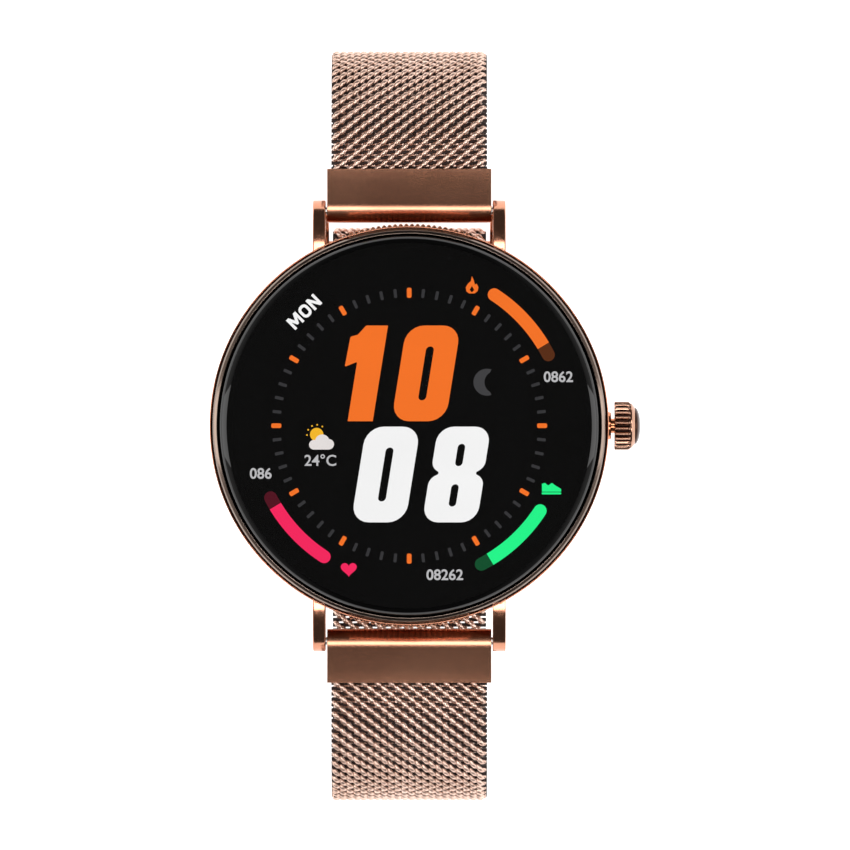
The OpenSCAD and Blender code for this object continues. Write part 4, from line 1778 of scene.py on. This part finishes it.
@dataclass
class InnerParts:
    """The parts whose plain solids are already right, each dressed in its own finish."""

    finishes: dict[str, str] = field(default_factory=lambda: {
        "glass_gasket": "rubber", "display_flex": "film", "inner_frame": "plastic", "main_board": "board",
        "board_chips": "chip", "battery": "foil", "vibration_motor": "nickel", "speaker": "plastic",
        "microphone": "gold", "back_gasket": "rubber", "sensor_window": "sensor", "sensor_board": "board",
        "sensor_leds": "led", "charging_pads": "gold", "charge_magnets": "nickel", "back_screws": "screw",
        "crown_switch": "nickel", "crown_flex": "film", "crown_yoke": "steel", "crown_stem": "copper",
        "crown_seal": "rubber", "upper_bar_tube": "steel", "upper_bar_pin": "steel",
        "upper_bar_spring": "nickel", "lower_bar_tube": "steel", "lower_bar_pin": "steel",
        "lower_bar_spring": "nickel", "tab_magnets": "nickel"})

    def build(self) -> None:
        """Gives each carried-over part its material."""
        for node, finish in self.finishes.items():
            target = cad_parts[node]
            target.data.materials.clear()
            target.data.materials.append(PALETTE[finish])
            LOG.info("node %s dressed in %s", node, finish)


# ---------------------------------------------------------------------------
# Studio
# ---------------------------------------------------------------------------


@dataclass
class Studio:
    """Pale floor, soft lights and a long lens above the watch."""

    aim: Point3 = (1.7, 0.12, 10.25)
    view_width: float = 91.4
    distance: float = 2500.0
    elevation: float = 89.9
    sensor: float = 36.0
    floor_size: float = 3000.0
    side_power: float = 3.0
    strip_power: float = 7.0

    def camera(self) -> bpy.types.Object:
        """Places the long-lens camera almost straight above the dial.

        Returns:
            The camera.
        """
        data = bpy.data.cameras.new("camera")
        data.sensor_width = self.sensor
        data.lens = self.sensor * self.distance / self.view_width
        data.clip_end = 10.0
        camera = bpy.data.objects.new("camera", data)
        bpy.context.scene.collection.objects.link(camera)
        tilt = math.radians(self.elevation)
        aim = Vector(self.aim) * MM
        back = Vector((0, -math.cos(tilt), math.sin(tilt)))
        camera.location = aim + back * self.distance * MM
        camera.rotation_euler = (-back).to_track_quat("-Z", "Y").to_euler()
        bpy.context.scene.camera = camera
        return camera

    def floor(self) -> bpy.types.Object:
        """Lays the pale floor just under the strap.

        Returns:
            The floor.
        """
        bottom = CAD_BOX[0][2] / MM - 0.02
        half = self.floor_size / 2
        piece = solid("floor", [(-half, -half, bottom), (half, -half, bottom), (half, half, bottom),
                                (-half, half, bottom)], [(0, 1, 2, 3)], "floor")
        return piece

    def softbox(self, name: str, place: Point3, size: Point2, power: float) -> bpy.types.Object:
        """Hangs a rectangular softbox that points at the watch.

        Args:
            name: the light's name.
            place: where it hangs, in millimetres.
            size: its width and height.
            power: its power in watts.

        Returns:
            The light.
        """
        data = bpy.data.lights.new(name, "AREA")
        data.shape = "RECTANGLE"
        data.size, data.size_y = size[0] * MM, size[1] * MM
        data.energy = power
        light = bpy.data.objects.new(name, data)
        bpy.context.scene.collection.objects.link(light)
        light.location = Vector(place) * MM
        light.rotation_euler = (-Vector(place)).normalized().to_track_quat("-Z", "Y").to_euler()
        return light

    def world(self) -> None:
        """Fills the room with soft light that is darker overhead than at the sides."""
        world = bpy.data.worlds.new("studio")
        bpy.context.scene.world = world
        world.use_nodes = True
        tree = world.node_tree
        back = tree.nodes["Background"]
        coords = tree.nodes.new("ShaderNodeTexCoord")
        split = tree.nodes.new("ShaderNodeSeparateXYZ")
        sideways = tree.nodes.new("ShaderNodeMath")
        sideways.operation = "ABSOLUTE"
        ramp = tree.nodes.new("ShaderNodeValToRGB")
        stops = [(0.0, 0.07), (0.35, 0.08), (0.65, 0.25), (0.9, 0.6)]
        while len(ramp.color_ramp.elements) < len(stops):
            ramp.color_ramp.elements.new(0.5)
        for element, (spot, level) in zip(ramp.color_ramp.elements, stops):
            element.position = spot
            element.color = (level, level * 0.985, level * 0.97, 1)
        tree.links.new(coords.outputs["Generated"], split.inputs["Vector"])
        tree.links.new(split.outputs["X"], sideways.inputs[0])
        tree.links.new(sideways.outputs["Value"], ramp.inputs["Fac"])
        tree.links.new(ramp.outputs["Color"], back.inputs["Color"])
        back.inputs["Strength"].default_value = 1.0

    def build(self) -> None:
        """Sets up camera, floor and lights."""
        bpy.context.scene.view_settings.view_transform = "Standard"
        self.camera()
        self.floor()
        self.world()
        for name, x in (("left_softbox", -900), ("right_softbox", 900)):
            self.softbox(name, (x, 0, 380), (360, 1000), self.side_power)
        for name, y in (("front_strip", -445), ("rear_strip", 445)):
            self.softbox(name, (0, y, 1222), (1200, 260), self.strip_power)


def main() -> None:
    """Builds the studio and every sub-assembly."""
    logging.basicConfig(level=logging.INFO, format="%(name)s: %(message)s")
    for assembly in (Studio(), CaseAssembly(), DialFace(), Crown(), Strap(), InnerParts()):
        assembly.build()
        LOG.info("%s done", type(assembly).__name__)
    bpy.context.view_layer.update()


if __name__ == "__main__":
    main()
